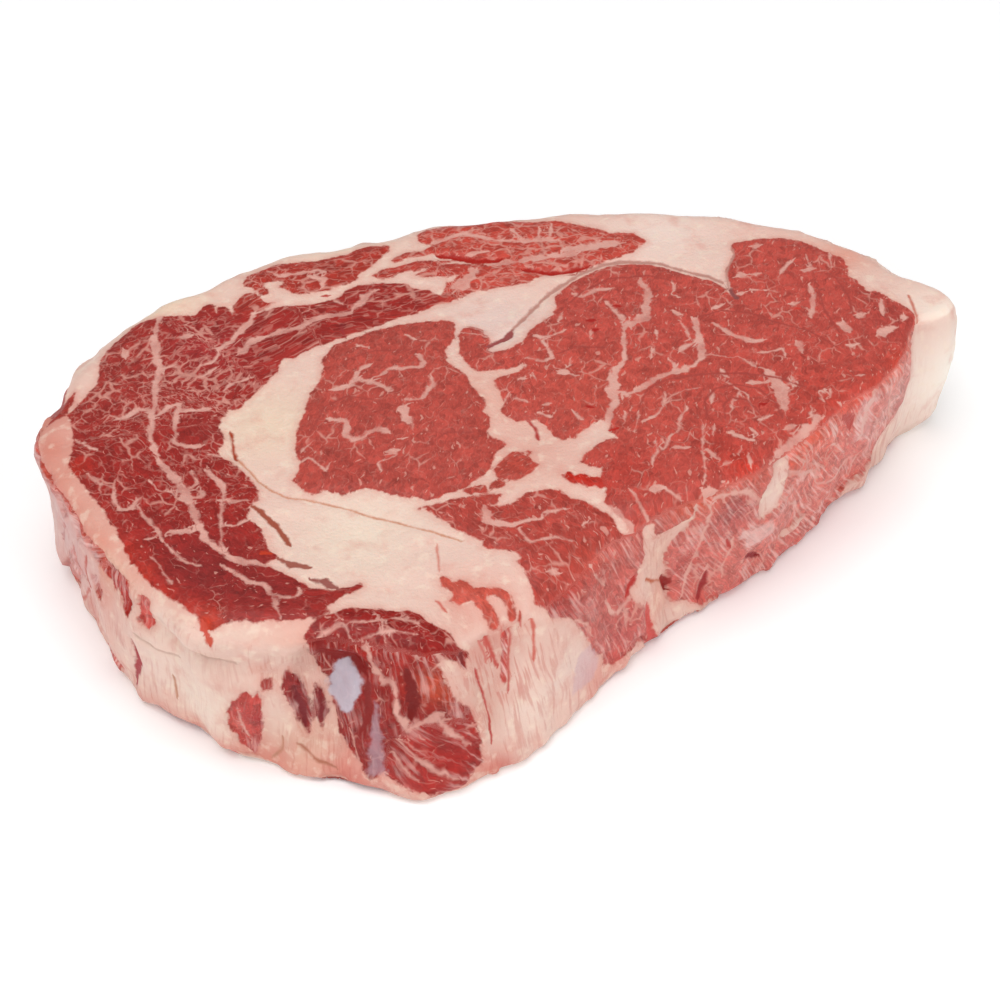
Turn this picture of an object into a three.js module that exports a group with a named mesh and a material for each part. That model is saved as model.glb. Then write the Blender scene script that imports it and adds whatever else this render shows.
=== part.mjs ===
// A raw boneless ribeye steak, cut thick: one solid piece of meat with its fat left on.
// Millimetres, +Z up. The steak lies flat on its lower cut face at z = 0, with its longest
// extent along X: the cap end points to -X, the lip of back fat to +X, the tail to -Y.
import * as THREE from "three";

// Driving dimensions
const LENGTH = 203;
const DEPTH = 129.5;
const THICKNESS = 36;

// The lip of fat hangs a little proud of the cut face, and the tail spreads as it lies.
const LIP_BULGE = 1.6;
const TAIL_SPREAD = 11;

// How finely the surface is faceted
const COLUMNS = 132;
const BOTTOM_RINGS = 2;
const FOOT_STEPS = 2;
const SIDE_STEPS = 11;
const RIM_STEPS = 4;
const TOP_RINGS = 12;

// Rounding between the wall and the two cut faces
const FOOT_RADIUS = 2.5;
const RIM_RADIUS = 3.2;

// Outline of the upper cut face, anticlockwise from the corner of the fat lip, as shares of
// half the length and half the depth.
const OUTLINE = [
  [1.005, 0.14], [0.985, 0.24], [0.925, 0.335], [0.875, 0.46], [0.81, 0.575], [0.73, 0.7],
  [0.628, 0.808], [0.458, 0.91], [0.286, 0.965], [0.099, 0.996], [-0.079, 1.015],
  [-0.187, 0.975], [-0.286, 0.955], [-0.414, 0.97], [-0.5, 0.94], [-0.57, 0.868],
  [-0.708, 0.79], [-0.797, 0.665], [-0.894, 0.508], [-0.952, 0.35], [-0.99, 0.205],
  [-1.0, 0.093], [-0.972, -0.046], [-0.942, -0.216], [-0.903, -0.417], [-0.834, -0.618],
  [-0.752, -0.78], [-0.611, -0.857], [-0.502, -0.911], [-0.424, -0.988], [-0.355, -1.0],
  [-0.266, -0.927], [-0.108, -0.826], [0.039, -0.71], [0.187, -0.618], [0.315, -0.556],
  [0.433, -0.494], [0.552, -0.386], [0.67, -0.27], [0.778, -0.154], [0.837, -0.031],
  [0.887, 0.062], [0.936, 0.077],
];

// Stations along the wall, in mm round the outline from the corner of the lip
const STATION = {
  backFat: 75,
  capShoulder: 175,
  capEnd: 252,
  frontFat: 300,
  tailStart: 338,
  tailMiddle: 350,
  tailEnd: 372,
  ribStart: 398,
  ribMiddle: 440,
  ribEnd: 490,
  lipFront: 507,
};

const smooth = (low, high, x) => THREE.MathUtils.smoothstep(x, low, high);
const bell = (x, middle, width) => Math.exp(-(((x - middle) / width) ** 2));

// A closed table of [station, value] pairs, read with smooth steps between them.
function along(pairs, station, around) {
  const last = pairs.length - 1;
  for (let i = 0; i <= last; i++) {
    const [from, start] = pairs[i];
    const [next, end] = i < last ? pairs[i + 1] : [pairs[0][0] + around, pairs[0][1]];
    if (station >= from && station < next) {
      return THREE.MathUtils.lerp(start, end, smooth(from, next, station));
    }
  }
  return pairs[0][1];
}

// How far the foot stands out from the upper outline: tucked in under the lip and the rib
// side, and spread out at the tail.
const FOOT_OFFSET = [
  [0, -4], [20, -2], [STATION.backFat, -1], [STATION.capShoulder, 0], [225, 1.2],
  [STATION.capEnd, -3.4], [278, -0.8], [STATION.frontFat, -0.4], [312, -2.2], [326, 2.5],
  [STATION.tailStart, 7.2], [352, 7.5], [364, TAIL_SPREAD], [378, 12.5], [390, 9.6], [402, 7],
  [418, 2], [STATION.ribMiddle, -2.6], [468, -3.4], [481, -5.4], [STATION.ribEnd, -4.4],
  [STATION.lipFront, -2],
];

// The rim is crisp where the knife left fat, and soft over the rib side and the tail.
const RIM = [
  [0, 0.5], [20, 0.8], [STATION.capShoulder, 1], [STATION.frontFat, 1.1],
  [STATION.tailStart, 1.3], [STATION.tailEnd, 2.4], [STATION.ribStart, 2.4], [424, 1.3],
  [STATION.ribEnd, 0.8],
];

// Outward swell of the wall halfway up
const SWELL = [
  [0, LIP_BULGE], [24, 2], [STATION.backFat, 1.6], [130, 2.2], [STATION.capShoulder, 1.4],
  [226, 2], [STATION.capEnd, 0.8], [276, 0.8], [STATION.frontFat, 1.2], [326, 2],
  [STATION.tailMiddle, 0.5], [STATION.tailEnd, 2], [STATION.ribStart, 1.2],
  [STATION.ribMiddle, 1], [STATION.ribEnd, 0.6], [STATION.lipFront, 1],
];

// The fold of fat that overhangs the front wall below the rim
function foldUnderRim(station, height) {
  const reach = smooth(288, 304, station) * (1 - smooth(336, 344, station));
  return -1.8 * reach * bell(height, 27.5, 2.6) + 0.9 * reach * bell(height, 32, 2);
}

// Strands of muscle that stand out of a hollow in the cut end of the tail
function tailHollow(station, height) {
  const inside = smooth(336, 341, station) * (1 - smooth(359, 366, station));
  const upright = smooth(3, 8, height) * (1 - smooth(28, 33, height));
  const slant = station + 0.35 * height;
  const strands = Math.sin((2 * Math.PI * slant) / 7.5);
  return inside * upright * (-2.6 + 1.1 * strands);
}

// A pocket between the front fat and the tail
function tailPocket(station, height) {
  return -2.4 * bell(station, 334, 2.4) * bell(height, 18, 8);
}

// Shallow troughs left where the rib bones were taken out, with seams standing between them
function ribTroughs(station, height) {
  const upright = smooth(0, 9, height) * (1 - smooth(26, 34, height));
  const troughs = bell(station, 405, 6) + bell(station, 428, 8) + bell(station, 468, 13);
  const seams = bell(station, 415, 3.4) + 0.8 * bell(station, 443, 4);
  return upright * (1.5 * seams - 1.7 * troughs);
}

// Knife facets and slow unevenness all round
function unevenness(station, height, around) {
  const turn = (2 * Math.PI * station) / around;
  const waves =
    0.5 * Math.sin(9 * turn + 0.12 * height) +
    0.4 * Math.sin(17 * turn + 1.3 - 0.2 * height) +
    0.35 * Math.sin(31 * turn + 0.4 + 0.09 * height);
  return waves * smooth(0, 8, height);
}

// The notch between the tail's fat and the rib side, at the foot
function footNotch(station, height) {
  return -2.2 * bell(station, 388.5, 1.8) * (1 - smooth(4, 16, height));
}

function wallOffset(station, height, around) {
  const up = height / THICKNESS;
  const foot = along(FOOT_OFFSET, station, around) * (1 - up) ** 1.15;
  const swell = along(SWELL, station, around) * Math.sin(Math.PI * up) ** 0.8;
  return (
    foot +
    swell +
    foldUnderRim(station, height) +
    tailHollow(station, height) +
    tailPocket(station, height) +
    ribTroughs(station, height) +
    unevenness(station, height, around) +
    footNotch(station, height)
  );
}

// Height of the upper cut face over the thickness: each muscle crowns a little, the seams of
// fat between them sink, and the surface falls away to the tail and the rib side.
function faceRelief(x, y) {
  const dome = (cx, cy, rx, ry) => Math.exp(-(((x - cx) / rx) ** 2) - ((y - cy) / ry) ** 2);
  const muscles =
    1.1 * dome(-30, 4, 22, 22) + 1.0 * dome(25, 5, 34, 26) + 0.9 * dome(72, 24, 20, 18);
  const cap = 0.9 * dome(-82, -4, 14, 34) + 0.7 * dome(-30, 50, 34, 10);
  const kernel = -0.9 * dome(-56, 2, 8, 22) - 0.8 * dome(-38, -32, 20, 11);
  const seam = -0.7 * dome(2, 33, 12, 9) - 0.6 * dome(0, -12, 14, 8);
  const fallToTail = -2.2 * dome(-24, -58, 20, 14) - 1.6 * dome(6, -46, 22, 10);
  return muscles + cap + kernel + seam + fallToTail;
}

// The outline, closed and evenly spaced, with the outward direction at each column.
function outlineColumns() {
  const corners = OUTLINE.map(
    ([x, y]) => new THREE.Vector3((x * LENGTH) / 2, (y * DEPTH) / 2, 0),
  );
  const curve = new THREE.CatmullRomCurve3(corners, true, "centripetal");
  curve.arcLengthDivisions = 2000;
  const around = curve.getLength();
  const columns = [];
  for (let i = 0; i < COLUMNS; i++) {
    const at = curve.getPointAt(i / COLUMNS);
    const way = curve.getTangentAt(i / COLUMNS);
    columns.push({
      station: (i / COLUMNS) * around,
      at: new THREE.Vector2(at.x, at.y),
      out: new THREE.Vector2(way.y, -way.x).normalize(),
    });
  }
  return { columns, around };
}

// One ring of points per step, from the middle of the foot up the wall to the middle of the top.
function steakRings() {
  const { columns, around } = outlineColumns();
  const rings = [];
  const ring = (place) => rings.push(columns.map(place));
  const wallPoint = (column, height, inset) => {
    const reach = wallOffset(column.station, height, around) - inset;
    const at = column.at.clone().addScaledVector(column.out, reach);
    return new THREE.Vector3(at.x, at.y, height);
  };
  const rimRadius = (column) => RIM_RADIUS * along(RIM, column.station, around);

  for (let i = 1; i <= BOTTOM_RINGS; i++) {
    const share = i / (BOTTOM_RINGS + 1);
    ring((column) => {
      const edge = wallPoint(column, 0, FOOT_RADIUS);
      return new THREE.Vector3(edge.x * share, edge.y * share, 0);
    });
  }
  for (let i = 0; i <= FOOT_STEPS; i++) {
    const turn = (i / FOOT_STEPS) * (Math.PI / 2);
    const inset = FOOT_RADIUS * (1 - Math.sin(turn));
    ring((column) => wallPoint(column, FOOT_RADIUS * (1 - Math.cos(turn)), inset));
  }
  for (let i = 1; i <= SIDE_STEPS; i++) {
    ring((column) => {
      const top = THICKNESS - rimRadius(column);
      return wallPoint(column, THREE.MathUtils.lerp(FOOT_RADIUS, top, i / SIDE_STEPS), 0);
    });
  }
  const rimPoint = (column, turn) => {
    const radius = rimRadius(column);
    const inset = radius * (1 - Math.cos(turn));
    const height = THICKNESS - radius * (1 - Math.sin(turn));
    const point = wallPoint(column, height, inset);
    point.z += faceRelief(point.x, point.y) * Math.sin(turn);
    return point;
  };
  for (let i = 1; i <= RIM_STEPS; i++) {
    ring((column) => rimPoint(column, (i / RIM_STEPS) * (Math.PI / 2)));
  }
  for (let i = 1; i <= TOP_RINGS; i++) {
    const share = 1 - i / (TOP_RINGS + 1);
    ring((column) => {
      const edge = rimPoint(column, Math.PI / 2);
      const x = edge.x * share;
      const y = edge.y * share;
      return new THREE.Vector3(x, y, THICKNESS + faceRelief(x, y));
    });
  }
  return rings;
}

// Joins the rings into one closed surface, with a single point in the middle of each face.
function closedSurface(rings) {
  const around = rings[0].length;
  const points = [new THREE.Vector3(0, 0, 0), ...rings.flat()];
  points.push(new THREE.Vector3(0, 0, THICKNESS + faceRelief(0, 0)));
  const apex = points.length - 1;
  const corner = (ring, column) => 1 + ring * around + (column % around);
  const faces = [];
  for (let c = 0; c < around; c++) {
    faces.push(0, corner(0, c + 1), corner(0, c));
    for (let r = 0; r + 1 < rings.length; r++) {
      const [a, b] = [corner(r, c), corner(r, c + 1)];
      const [d, e] = [corner(r + 1, c), corner(r + 1, c + 1)];
      faces.push(a, b, e, a, e, d);
    }
    faces.push(apex, corner(rings.length - 1, c), corner(rings.length - 1, c + 1));
  }
  const geometry = new THREE.BufferGeometry().setFromPoints(points);
  geometry.setIndex(faces);
  geometry.computeBoundingBox();
  const middle = geometry.boundingBox.getCenter(new THREE.Vector3());
  geometry.translate(-middle.x, -middle.y, 0);
  geometry.computeVertexNormals();
  return geometry;
}

// Raw beef, wet and red, with cream fat: one colour here stands for both.
const rawBeef = new THREE.MeshStandardMaterial({ color: 0xb65450, roughness: 0.45, metalness: 0 });

const steak = new THREE.Mesh(closedSurface(steakRings()), rawBeef);
steak.name = "steak";

const group = new THREE.Group();
group.add(steak);

export default group;
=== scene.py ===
"""Raw ribeye steak: the looks of one thick, well-marbled cut.

The CAD solid gives the form. Here it is copied as a fine mesh, its muscles, fat seams, folds and
strands are laid out in millimetres, and one raw-beef material draws them.
"""

import math

import bpy
import numpy as np
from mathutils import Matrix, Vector


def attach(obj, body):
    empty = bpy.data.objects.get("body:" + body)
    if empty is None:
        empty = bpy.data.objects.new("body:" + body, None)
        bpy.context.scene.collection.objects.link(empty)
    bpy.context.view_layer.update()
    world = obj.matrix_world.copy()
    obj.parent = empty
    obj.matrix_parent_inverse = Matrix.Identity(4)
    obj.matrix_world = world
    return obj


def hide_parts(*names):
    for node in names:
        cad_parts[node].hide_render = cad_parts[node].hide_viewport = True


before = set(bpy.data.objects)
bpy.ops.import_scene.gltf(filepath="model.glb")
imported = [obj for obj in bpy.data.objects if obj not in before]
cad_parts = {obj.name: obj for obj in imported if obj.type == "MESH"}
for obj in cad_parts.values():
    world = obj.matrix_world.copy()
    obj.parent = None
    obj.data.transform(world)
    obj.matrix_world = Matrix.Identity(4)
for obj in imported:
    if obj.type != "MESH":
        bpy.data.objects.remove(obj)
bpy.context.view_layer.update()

MM = 0.001

# Mesh
SPACING = 0.82  # mm between points of the fine mesh
REACH = 7.0  # mm: no lean or seam is felt further away than this
NO_SEAM = 0.1  # mm: the half-width where no seam is near

# The upper outline of the cut, as shares of half its length and half its depth,
# anticlockwise from the corner of the lip; the same curve that the solid is built on
OUTLINE_LENGTH = 203.0
OUTLINE_DEPTH = 129.5
OUTLINE_SHIFT = (-0.60, 3.21)  # from the curve's own middle to the middle of the part
OUTLINE = [
    (1.005, 0.14), (0.985, 0.24), (0.925, 0.335), (0.875, 0.46), (0.81, 0.575), (0.73, 0.7),
    (0.628, 0.808), (0.458, 0.91), (0.286, 0.965), (0.099, 0.996), (-0.079, 1.015),
    (-0.187, 0.975), (-0.286, 0.955), (-0.414, 0.97), (-0.5, 0.94), (-0.57, 0.868),
    (-0.708, 0.79), (-0.797, 0.665), (-0.894, 0.508), (-0.952, 0.35), (-0.99, 0.205),
    (-1.0, 0.093), (-0.972, -0.046), (-0.942, -0.216), (-0.903, -0.417), (-0.834, -0.618),
    (-0.752, -0.78), (-0.611, -0.857), (-0.502, -0.911), (-0.424, -0.988), (-0.355, -1.0),
    (-0.266, -0.927), (-0.108, -0.826), (0.039, -0.71), (0.187, -0.618), (0.315, -0.556),
    (0.433, -0.494), (0.552, -0.386), (0.67, -0.27), (0.778, -0.154), (0.837, -0.031),
    (0.887, 0.062), (0.936, 0.077),
]

# The wall is laid out on a chart this long, once round the rim
CHART_ROUND = 516.0  # mm

# Plan points are read from the middle of the top face, this far from the part's middle
PLAN_SHIFT = (0.2, 0.1)  # mm

# ---------------------------------------------------------------------------------------
# The outlines of the muscles on the cut face, in mm from its middle
# ---------------------------------------------------------------------------------------

CAP = [
    (-76.3, -48.3), (-78.8, -43.8), (-82.5, -38.3), (-85.8, -32.9), (-88.3, -26.7),
    (-89.6, -19.2), (-91.7, -10.8), (-94.2, -3.3), (-96.5, 3.3), (-96, 7), (-94.8, 11.3),
    (-94.6, 15), (-94.8, 20.8), (-91.2, 25), (-87.1, 30), (-86.2, 35), (-85.4, 38.3),
    (-81.7, 43.3), (-79.2, 45.8), (-76.7, 48.3), (-71.2, 49.8), (-67.5, 49.2), (-63.3, 48.3),
    (-60.8, 51.2), (-59.2, 50.4), (-58.8, 47.5), (-57.9, 50), (-56.5, 49.2), (-55.8, 45.8),
    (-50, 45.2), (-45, 46), (-36.7, 45), (-32, 45.8), (-30, 47.9), (-27, 49.2), (-23.8, 49.2),
    (-18.3, 48.3), (-16.3, 47.5), (-15.4, 45.8), (-12, 44.6), (-10.4, 42.5), (-8.3, 40.8),
    (-7, 39.2), (-12, 38.8), (-15, 37.1), (-20.4, 36.7), (-23.3, 35.4), (-28.8, 33.3),
    (-33.3, 32), (-38.3, 30.8), (-43.3, 29.2), (-45.4, 27.9), (-47.5, 28.3), (-48.8, 26.7),
    (-50, 23.8), (-52.5, 21.3), (-55, 19.6), (-57.5, 17), (-59.6, 14.8), (-61.3, 15),
    (-62.9, 13.8), (-64.2, 11.3), (-65, 9.6), (-64.4, 7), (-64.6, 4.2), (-66.3, 2.5),
    (-65.8, 0), (-64.2, -1.7), (-61.7, -6.7), (-60.8, -9.6), (-60.2, -12), (-61, -15.2),
    (-63.3, -16.7), (-63.8, -20), (-61.7, -24.2), (-61.3, -30.4), (-59.6, -32), (-62.9, -34),
    (-61, -36), (-58.8, -38.3), (-56.3, -41.3), (-55, -43.3), (-51.3, -44.2), (-47.5, -44),
    (-45.4, -43.3), (-45.4, -44.6), (-49.6, -46.3), (-53.3, -48.3), (-53.3, -50),
    (-57.9, -50.8), (-62.9, -50), (-66.7, -49.2), (-69.6, -47.9), (-72.9, -47.5),
]
CAP_EDGE = [(-99.5, 19), (-96, 25.5), (-92.5, 28), (-93.5, 25), (-95.5, 21)]
BACK_STRIP = [
    (-51.7, 55.4), (-51, 57.5), (-49.2, 59.6), (-45.8, 61), (-42.5, 61.7), (-34.2, 60.4),
    (-30.8, 61), (-26.7, 61.5), (-23.8, 62.9), (-20.4, 63.3), (-16.7, 62.9), (-17.9, 60.4),
    (-20, 58.3), (-22.5, 55.8), (-25, 53.8), (-26.7, 51.7), (-30, 50), (-34.2, 49.2),
    (-37.9, 49.2), (-40.8, 50), (-42.9, 51.7), (-43.8, 53.3), (-42.1, 55), (-45.4, 55.8),
    (-47.5, 55), (-46.5, 52.5), (-46.7, 50.4), (-47.9, 50.8), (-49.8, 54.6),
]
BACK_PATCH = [
    (-55, 47.9), (-53.3, 51.3), (-51.3, 52.5), (-49.2, 52.1), (-49, 50.4), (-47.5, 48.3),
    (-45.4, 47.9), (-49.2, 46.3), (-52.5, 45.4), (-54.6, 46.3),
]
BACK_THREADS = [
    [(-17.5, 57.1), (-14, 59), (-10, 58.8), (-6, 60.5), (-6, 57), (-13, 56.8), (-16.7, 55.8)],
    [(-23, 52), (-20, 53.8), (-12.5, 55), (-3, 53.5), (-13.5, 51.5), (-15.8, 52.5),
     (-19.2, 50.8), (-21.7, 50.8)],
    [(-13.8, 50), (-10, 52), (-5.4, 52.5), (0, 51), (3, 49.5), (-2, 47.5), (-8, 48.3)],
    [(-8.1, 44.2), (-7, 46.3), (-4.6, 45.6), (-4.8, 42), (-6.7, 40.6)],
]
BACK_LOBE = [
    (-9.6, 65.4), (-7.5, 66.9), (-3.8, 66.7), (5.8, 66.7), (10, 66.3), (13.3, 65), (16.7, 63.5),
    (20.8, 62.9), (24.2, 61.7), (26.7, 60.4), (29.6, 58.8), (31.7, 57.1), (32.9, 55.4),
    (38.3, 54.2), (39.6, 51.7), (40.2, 49.6), (37.9, 48.8), (36.7, 47.1), (31.7, 46.3),
    (27.5, 45), (23.3, 43.8), (19.2, 43.5), (15, 44), (12.5, 43.3), (10.8, 41.9), (2.5, 42.1),
    (-3.8, 41.7), (-5.8, 40), (-10, 38.8), (-8.5, 44), (-4, 48), (2, 50), (-2, 53.5),
    (-7.5, 56.5), (-7.5, 60.8), (-9.8, 62.5),
]
EYE_LEFT = [
    (-39.6, 25), (-40, 22.5), (-40.8, 19.6), (-42.5, 17.5), (-43.8, 15.4), (-45.2, 12.9),
    (-46.5, 9.2), (-47.9, 6.3), (-49.2, 3.3), (-50.2, 0), (-50.8, -3.8), (-50.2, -5.4),
    (-51.3, -8.3), (-52.7, -10.4), (-52, -12.5), (-50.8, -15), (-49.6, -16), (-47.5, -15),
    (-45.8, -15.8), (-44.2, -17), (-37.5, -16.7), (-36.3, -17.9), (-34.2, -19.2),
    (-31.7, -20.4), (-28.8, -21.3), (-27.5, -22.5), (-25.4, -23.1), (-23.8, -22),
    (-20.8, -21.3), (-18.3, -20.6), (-16.3, -19.2), (-15, -18.8), (-12.9, -16.7),
    (-11.7, -14.6), (-10.4, -12), (-7.9, -10.4), (-7.9, -9), (-10, -8.3), (-11.3, -6.7),
    (-10, -5), (-9.2, -2), (-10, 0.4), (-9.2, 2), (-9.6, 6.3), (-10.8, 9.2), (-11, 12.9),
    (-12.9, 15.4), (-13.8, 18.3), (-13.3, 21.3), (-12, 23.5), (-10.4, 25), (-10, 27),
    (-9.2, 30.8), (-9.4, 32), (-11.3, 33.1), (-14.2, 33.5), (-20, 33.8), (-24.2, 33.3),
    (-27.5, 32.5), (-31.7, 30.8), (-35.8, 30), (-37.8, 27.5),
]
EYE_MAIN = [
    (-9.4, 26.3), (-7.8, 28.5), (-6.8, 29.4), (-5.5, 28.6), (-3.8, 26.3), (-2.9, 24.2),
    (-3.5, 21.7), (-4.6, 20), (-3.3, 18.8), (-0.4, 18.8), (3.8, 20.8), (5.4, 23.3),
    (8.3, 26.3), (12.5, 28.8), (14, 31.3), (15, 35.4), (17, 37.5), (20, 39.6), (23.3, 41.3),
    (26.7, 42.7), (30, 43.3), (35, 43.3), (38.3, 42.1), (41.7, 39.2), (44.2, 36.7), (47, 34.5),
    (50, 32), (52, 28.5), (53, 25), (53.6, 29), (54.2, 34.6), (55.8, 36.7), (57.9, 40),
    (58.3, 43.3), (59.2, 44.4), (61.7, 45), (65, 44.6), (70, 43.5), (73.3, 41.7), (75.8, 39.6),
    (77.5, 37.1), (79.6, 35), (81, 33.3), (81.3, 30), (80, 26.3), (81.3, 24.6), (81.9, 22),
    (81.7, 19.6), (83.8, 20), (85.4, 17.9), (87.3, 14.8), (89.2, 12), (89.8, 10), (89.2, 7),
    (88.5, 2.5), (84, -5), (76, -12), (66, -19), (55, -26.5), (43, -33), (31, -38), (18, -41),
    (11, -40), (10, -36.7), (8.3, -34.2), (7.5, -31.7), (8.8, -28.3), (8.8, -24.6),
    (9.6, -22.5), (7.5, -21.3), (5.4, -19.2), (8.3, -17), (10.8, -15.4), (13.3, -14.6),
    (15, -14.6), (14.2, -12), (15, -10), (14.2, -8.3), (12.5, -8.3), (8.8, -10), (6.7, -11.7),
    (3.8, -11.7), (2.5, -9.6), (1.7, -6.7), (0, -4.2), (-3.8, -3.8), (-5.4, -2.5),
    (-6.5, -0.8), (-5.2, 1.7), (-5, 5), (-5.6, 8.3), (-5.4, 9.6), (-2.5, 10.4), (0.6, 10.6),
    (2.4, 12.6), (2, 13.8), (0, 12.7), (-5, 12.7), (-7.5, 13.3), (-9.2, 14.8), (-9.8, 17),
    (-10.3, 20), (-9.9, 23),
]
POOL_ISLANDS = [
    [(-12, -17), (-10, -15), (-7.9, -13.3), (-6.7, -12.7), (-4.6, -15), (-2.9, -18.3),
     (-5.4, -20.4), (-7.9, -21.5), (-10, -21), (-12, -20)],
    [(-4.5, -14), (-3.8, -13.4), (-3.1, -14), (-3.8, -15)],
    [(-14.2, -21.3), (-11.7, -20.4), (-10.6, -21.7), (-12, -22.9), (-14.2, -22.7)],
    [(-20, -22), (-17, -20.8), (-15, -21.3), (-15, -23.3), (-18.3, -23.3)],
]
LOWER_BLOCK = [
    (-29.4, -24.4), (-25, -24.2), (-21.3, -23.8), (-14.2, -24.2), (-12.5, -25), (-13.8, -27),
    (-15.8, -27.5), (-13.8, -28.3), (-10.8, -27.9), (-7.9, -26.3), (-5, -25.6), (-1.7, -26.3),
    (-0.4, -26.7), (0.8, -29.2), (3.8, -30.8), (5.8, -33.3), (7.9, -35.8), (8.3, -39.2),
    (9.5, -44), (0, -48), (-12.5, -53), (-12.5, -48.3), (-12.9, -45.8), (-13.8, -43.3),
    (-12.9, -42.5), (-15, -39.6), (-18.3, -39.2), (-19.6, -38.3), (-19.2, -36.7),
    (-20.4, -35.4), (-22.9, -32.9), (-25.4, -29.6), (-28.3, -25),
]
TAIL_TOP = [
    (-60, -58), (-58.3, -53.3), (-57.5, -52), (-53.8, -50.8), (-49.2, -49.8), (-44.2, -50.4),
    (-41.7, -51.7), (-38.3, -52), (-35.8, -53.3), (-33.8, -56.3), (-30.8, -57.7), (-29, -66),
    (-60, -66),
]
BRUISE = [
    (-30.4, -44.8), (-29, -44.1), (-27.4, -46.4), (-26, -45.8), (-24.4, -47), (-24, -48.6),
    (-21, -48.9), (-18.8, -49), (-17.2, -51), (-16.6, -54), (-17, -58), (-18.2, -56),
    (-18.6, -51.6), (-20.6, -50.3), (-22, -51), (-21.6, -53), (-20.6, -55), (-21, -60),
    (-22.6, -60), (-22.6, -56), (-23.6, -54), (-25, -51), (-27.6, -51.6), (-29.4, -50.4),
    (-28, -49.4), (-28.4, -47.6), (-29.6, -46.6),
]
BLOOD_SPOT = [
    (0.8, -22.6), (2.6, -21.9), (3.6, -23.2), (5, -23), (6.4, -24.6), (8.2, -25), (9.4, -27.4),
    (8, -28.6), (6.6, -26.9), (5.2, -27.4), (3.8, -25.6), (2.4, -25.4),
]
RED_RIM = [
    (85, 1.3), (83.3, -1.7), (80, -4.6), (75, -9.2), (71.7, -12.5), (68.3, -14.2), (66, -16),
    (62, -19), (70, -20), (80, -14), (90, -2),
]

# ---------------------------------------------------------------------------------------
# Pale fat seams inside the muscles: (widths along the seam in mm, points in mm)
# ---------------------------------------------------------------------------------------

CAP_SEAMS = [
    ([1.6, 2.0, 2.0, 1.4, 1.2, 1.4, 1.6, 2.4, 2.0, 1.6, 2.0, 1.4],
     [(-71.5, 49.5), (-73.3, 43), (-74.3, 31), (-75.8, 23.8), (-77.9, 15.4), (-79.4, 7.5),
      (-78.3, 0), (-75.4, -7.9), (-74, -16.7), (-73.3, -25), (-68.3, -32), (-62.9, -34.2)]),
    ([1.3], [(-76.3, 15.8), (-74.2, 17.9), (-72, 18.3), (-71.7, 15.8), (-66.3, 15.4)]),
    ([1.2], [(-72.7, 15.4), (-73.3, 12.5), (-74.4, 6.3), (-72.5, 4.2), (-69.6, 3.8)]),
    ([1.4, 0.9], [(-78.3, 18.3), (-80, 18.8), (-82.5, 17), (-85, 16.7)]),
    ([0.6], [(-94.2, 12), (-92, 9.2), (-90.8, 7.5)]),
    ([0.8], [(-92.9, 0), (-91.3, -2.9), (-88.5, -5.8), (-89.2, -9.6), (-88.3, -12.5),
             (-85.8, -12.9), (-85, -10.4)]),
    ([0.7], [(-85, -12.5), (-82, -20), (-81.3, -22.9), (-80, -27), (-77.5, -30.8), (-75.8, -32)]),
    ([0.6], [(-81.3, -5.4), (-80, -8.3), (-77.5, -10), (-75.8, -12.5)]),
    ([0.7], [(-74.2, -9.6), (-72, -7.9), (-72.5, -4.2)]),
    ([1.2], [(-74, -12.3), (-72, -12.5), (-71.7, -10.5)]),
    ([1.3], [(-79.2, -21.3), (-75.8, -22)]),
    ([0.7], [(-84.2, -22), (-82.5, -21.6)]),
    ([0.8], [(-68.3, 0.8), (-65.8, 0.4)]),
    ([1.3], [(-69.2, -4.6), (-67, -10.4), (-67.9, -13.8), (-66.3, -14.6), (-63.3, -14.6)]),
    ([0.9], [(-70, -30.4), (-70.2, -27), (-69.2, -20), (-67.9, -13.8)]),
    ([0.8], [(-69.2, -21.7), (-66.7, -22.5), (-63.8, -20.4)]),
    ([1.1], [(-62.5, -48.8), (-62.9, -45.8), (-63.8, -40.4), (-66.7, -38.8), (-70.8, -33.3)]),
    ([0.6], [(-62.9, -43.3), (-59.2, -45), (-57, -43.8), (-57.5, -42.7)]),
    ([0.4], [(-84.2, -27.5), (-82.5, -32), (-81.7, -35.4)]),
    ([1.8], [(-60.5, 35), (-57.5, 37), (-55.5, 39.2), (-52.5, 42.3), (-51, 44.8)]),
    ([2.4, 1.6], [(-56, 33), (-54, 35.5), (-50.5, 37), (-44, 38), (-36.7, 39.8), (-30, 39.8)]),
    ([1.0], [(-65, 30), (-63, 30.8), (-60.8, 33), (-60.5, 35)]),
    ([0.7], [(-62, 29), (-64, 27.5), (-66, 26.3)]),
    ([0.8], [(-55.4, 23.8), (-59.2, 22.9), (-61.3, 21.3)]),
    ([1.8], [(-29.5, 41.5), (-27.5, 42.8), (-26.2, 45.3), (-23.8, 46.2)]),
    ([0.7], [(-33, 46.3), (-31.9, 43.5)]),
    ([1.7], [(-67.3, 40.8), (-66.2, 40.8)]),
    ([2.0], [(-80.4, 38.8), (-80.4, 37.6)]),
    ([1.6, 0.6], [(-73.5, 31.2), (-70.5, 31.8)]),
]
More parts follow.
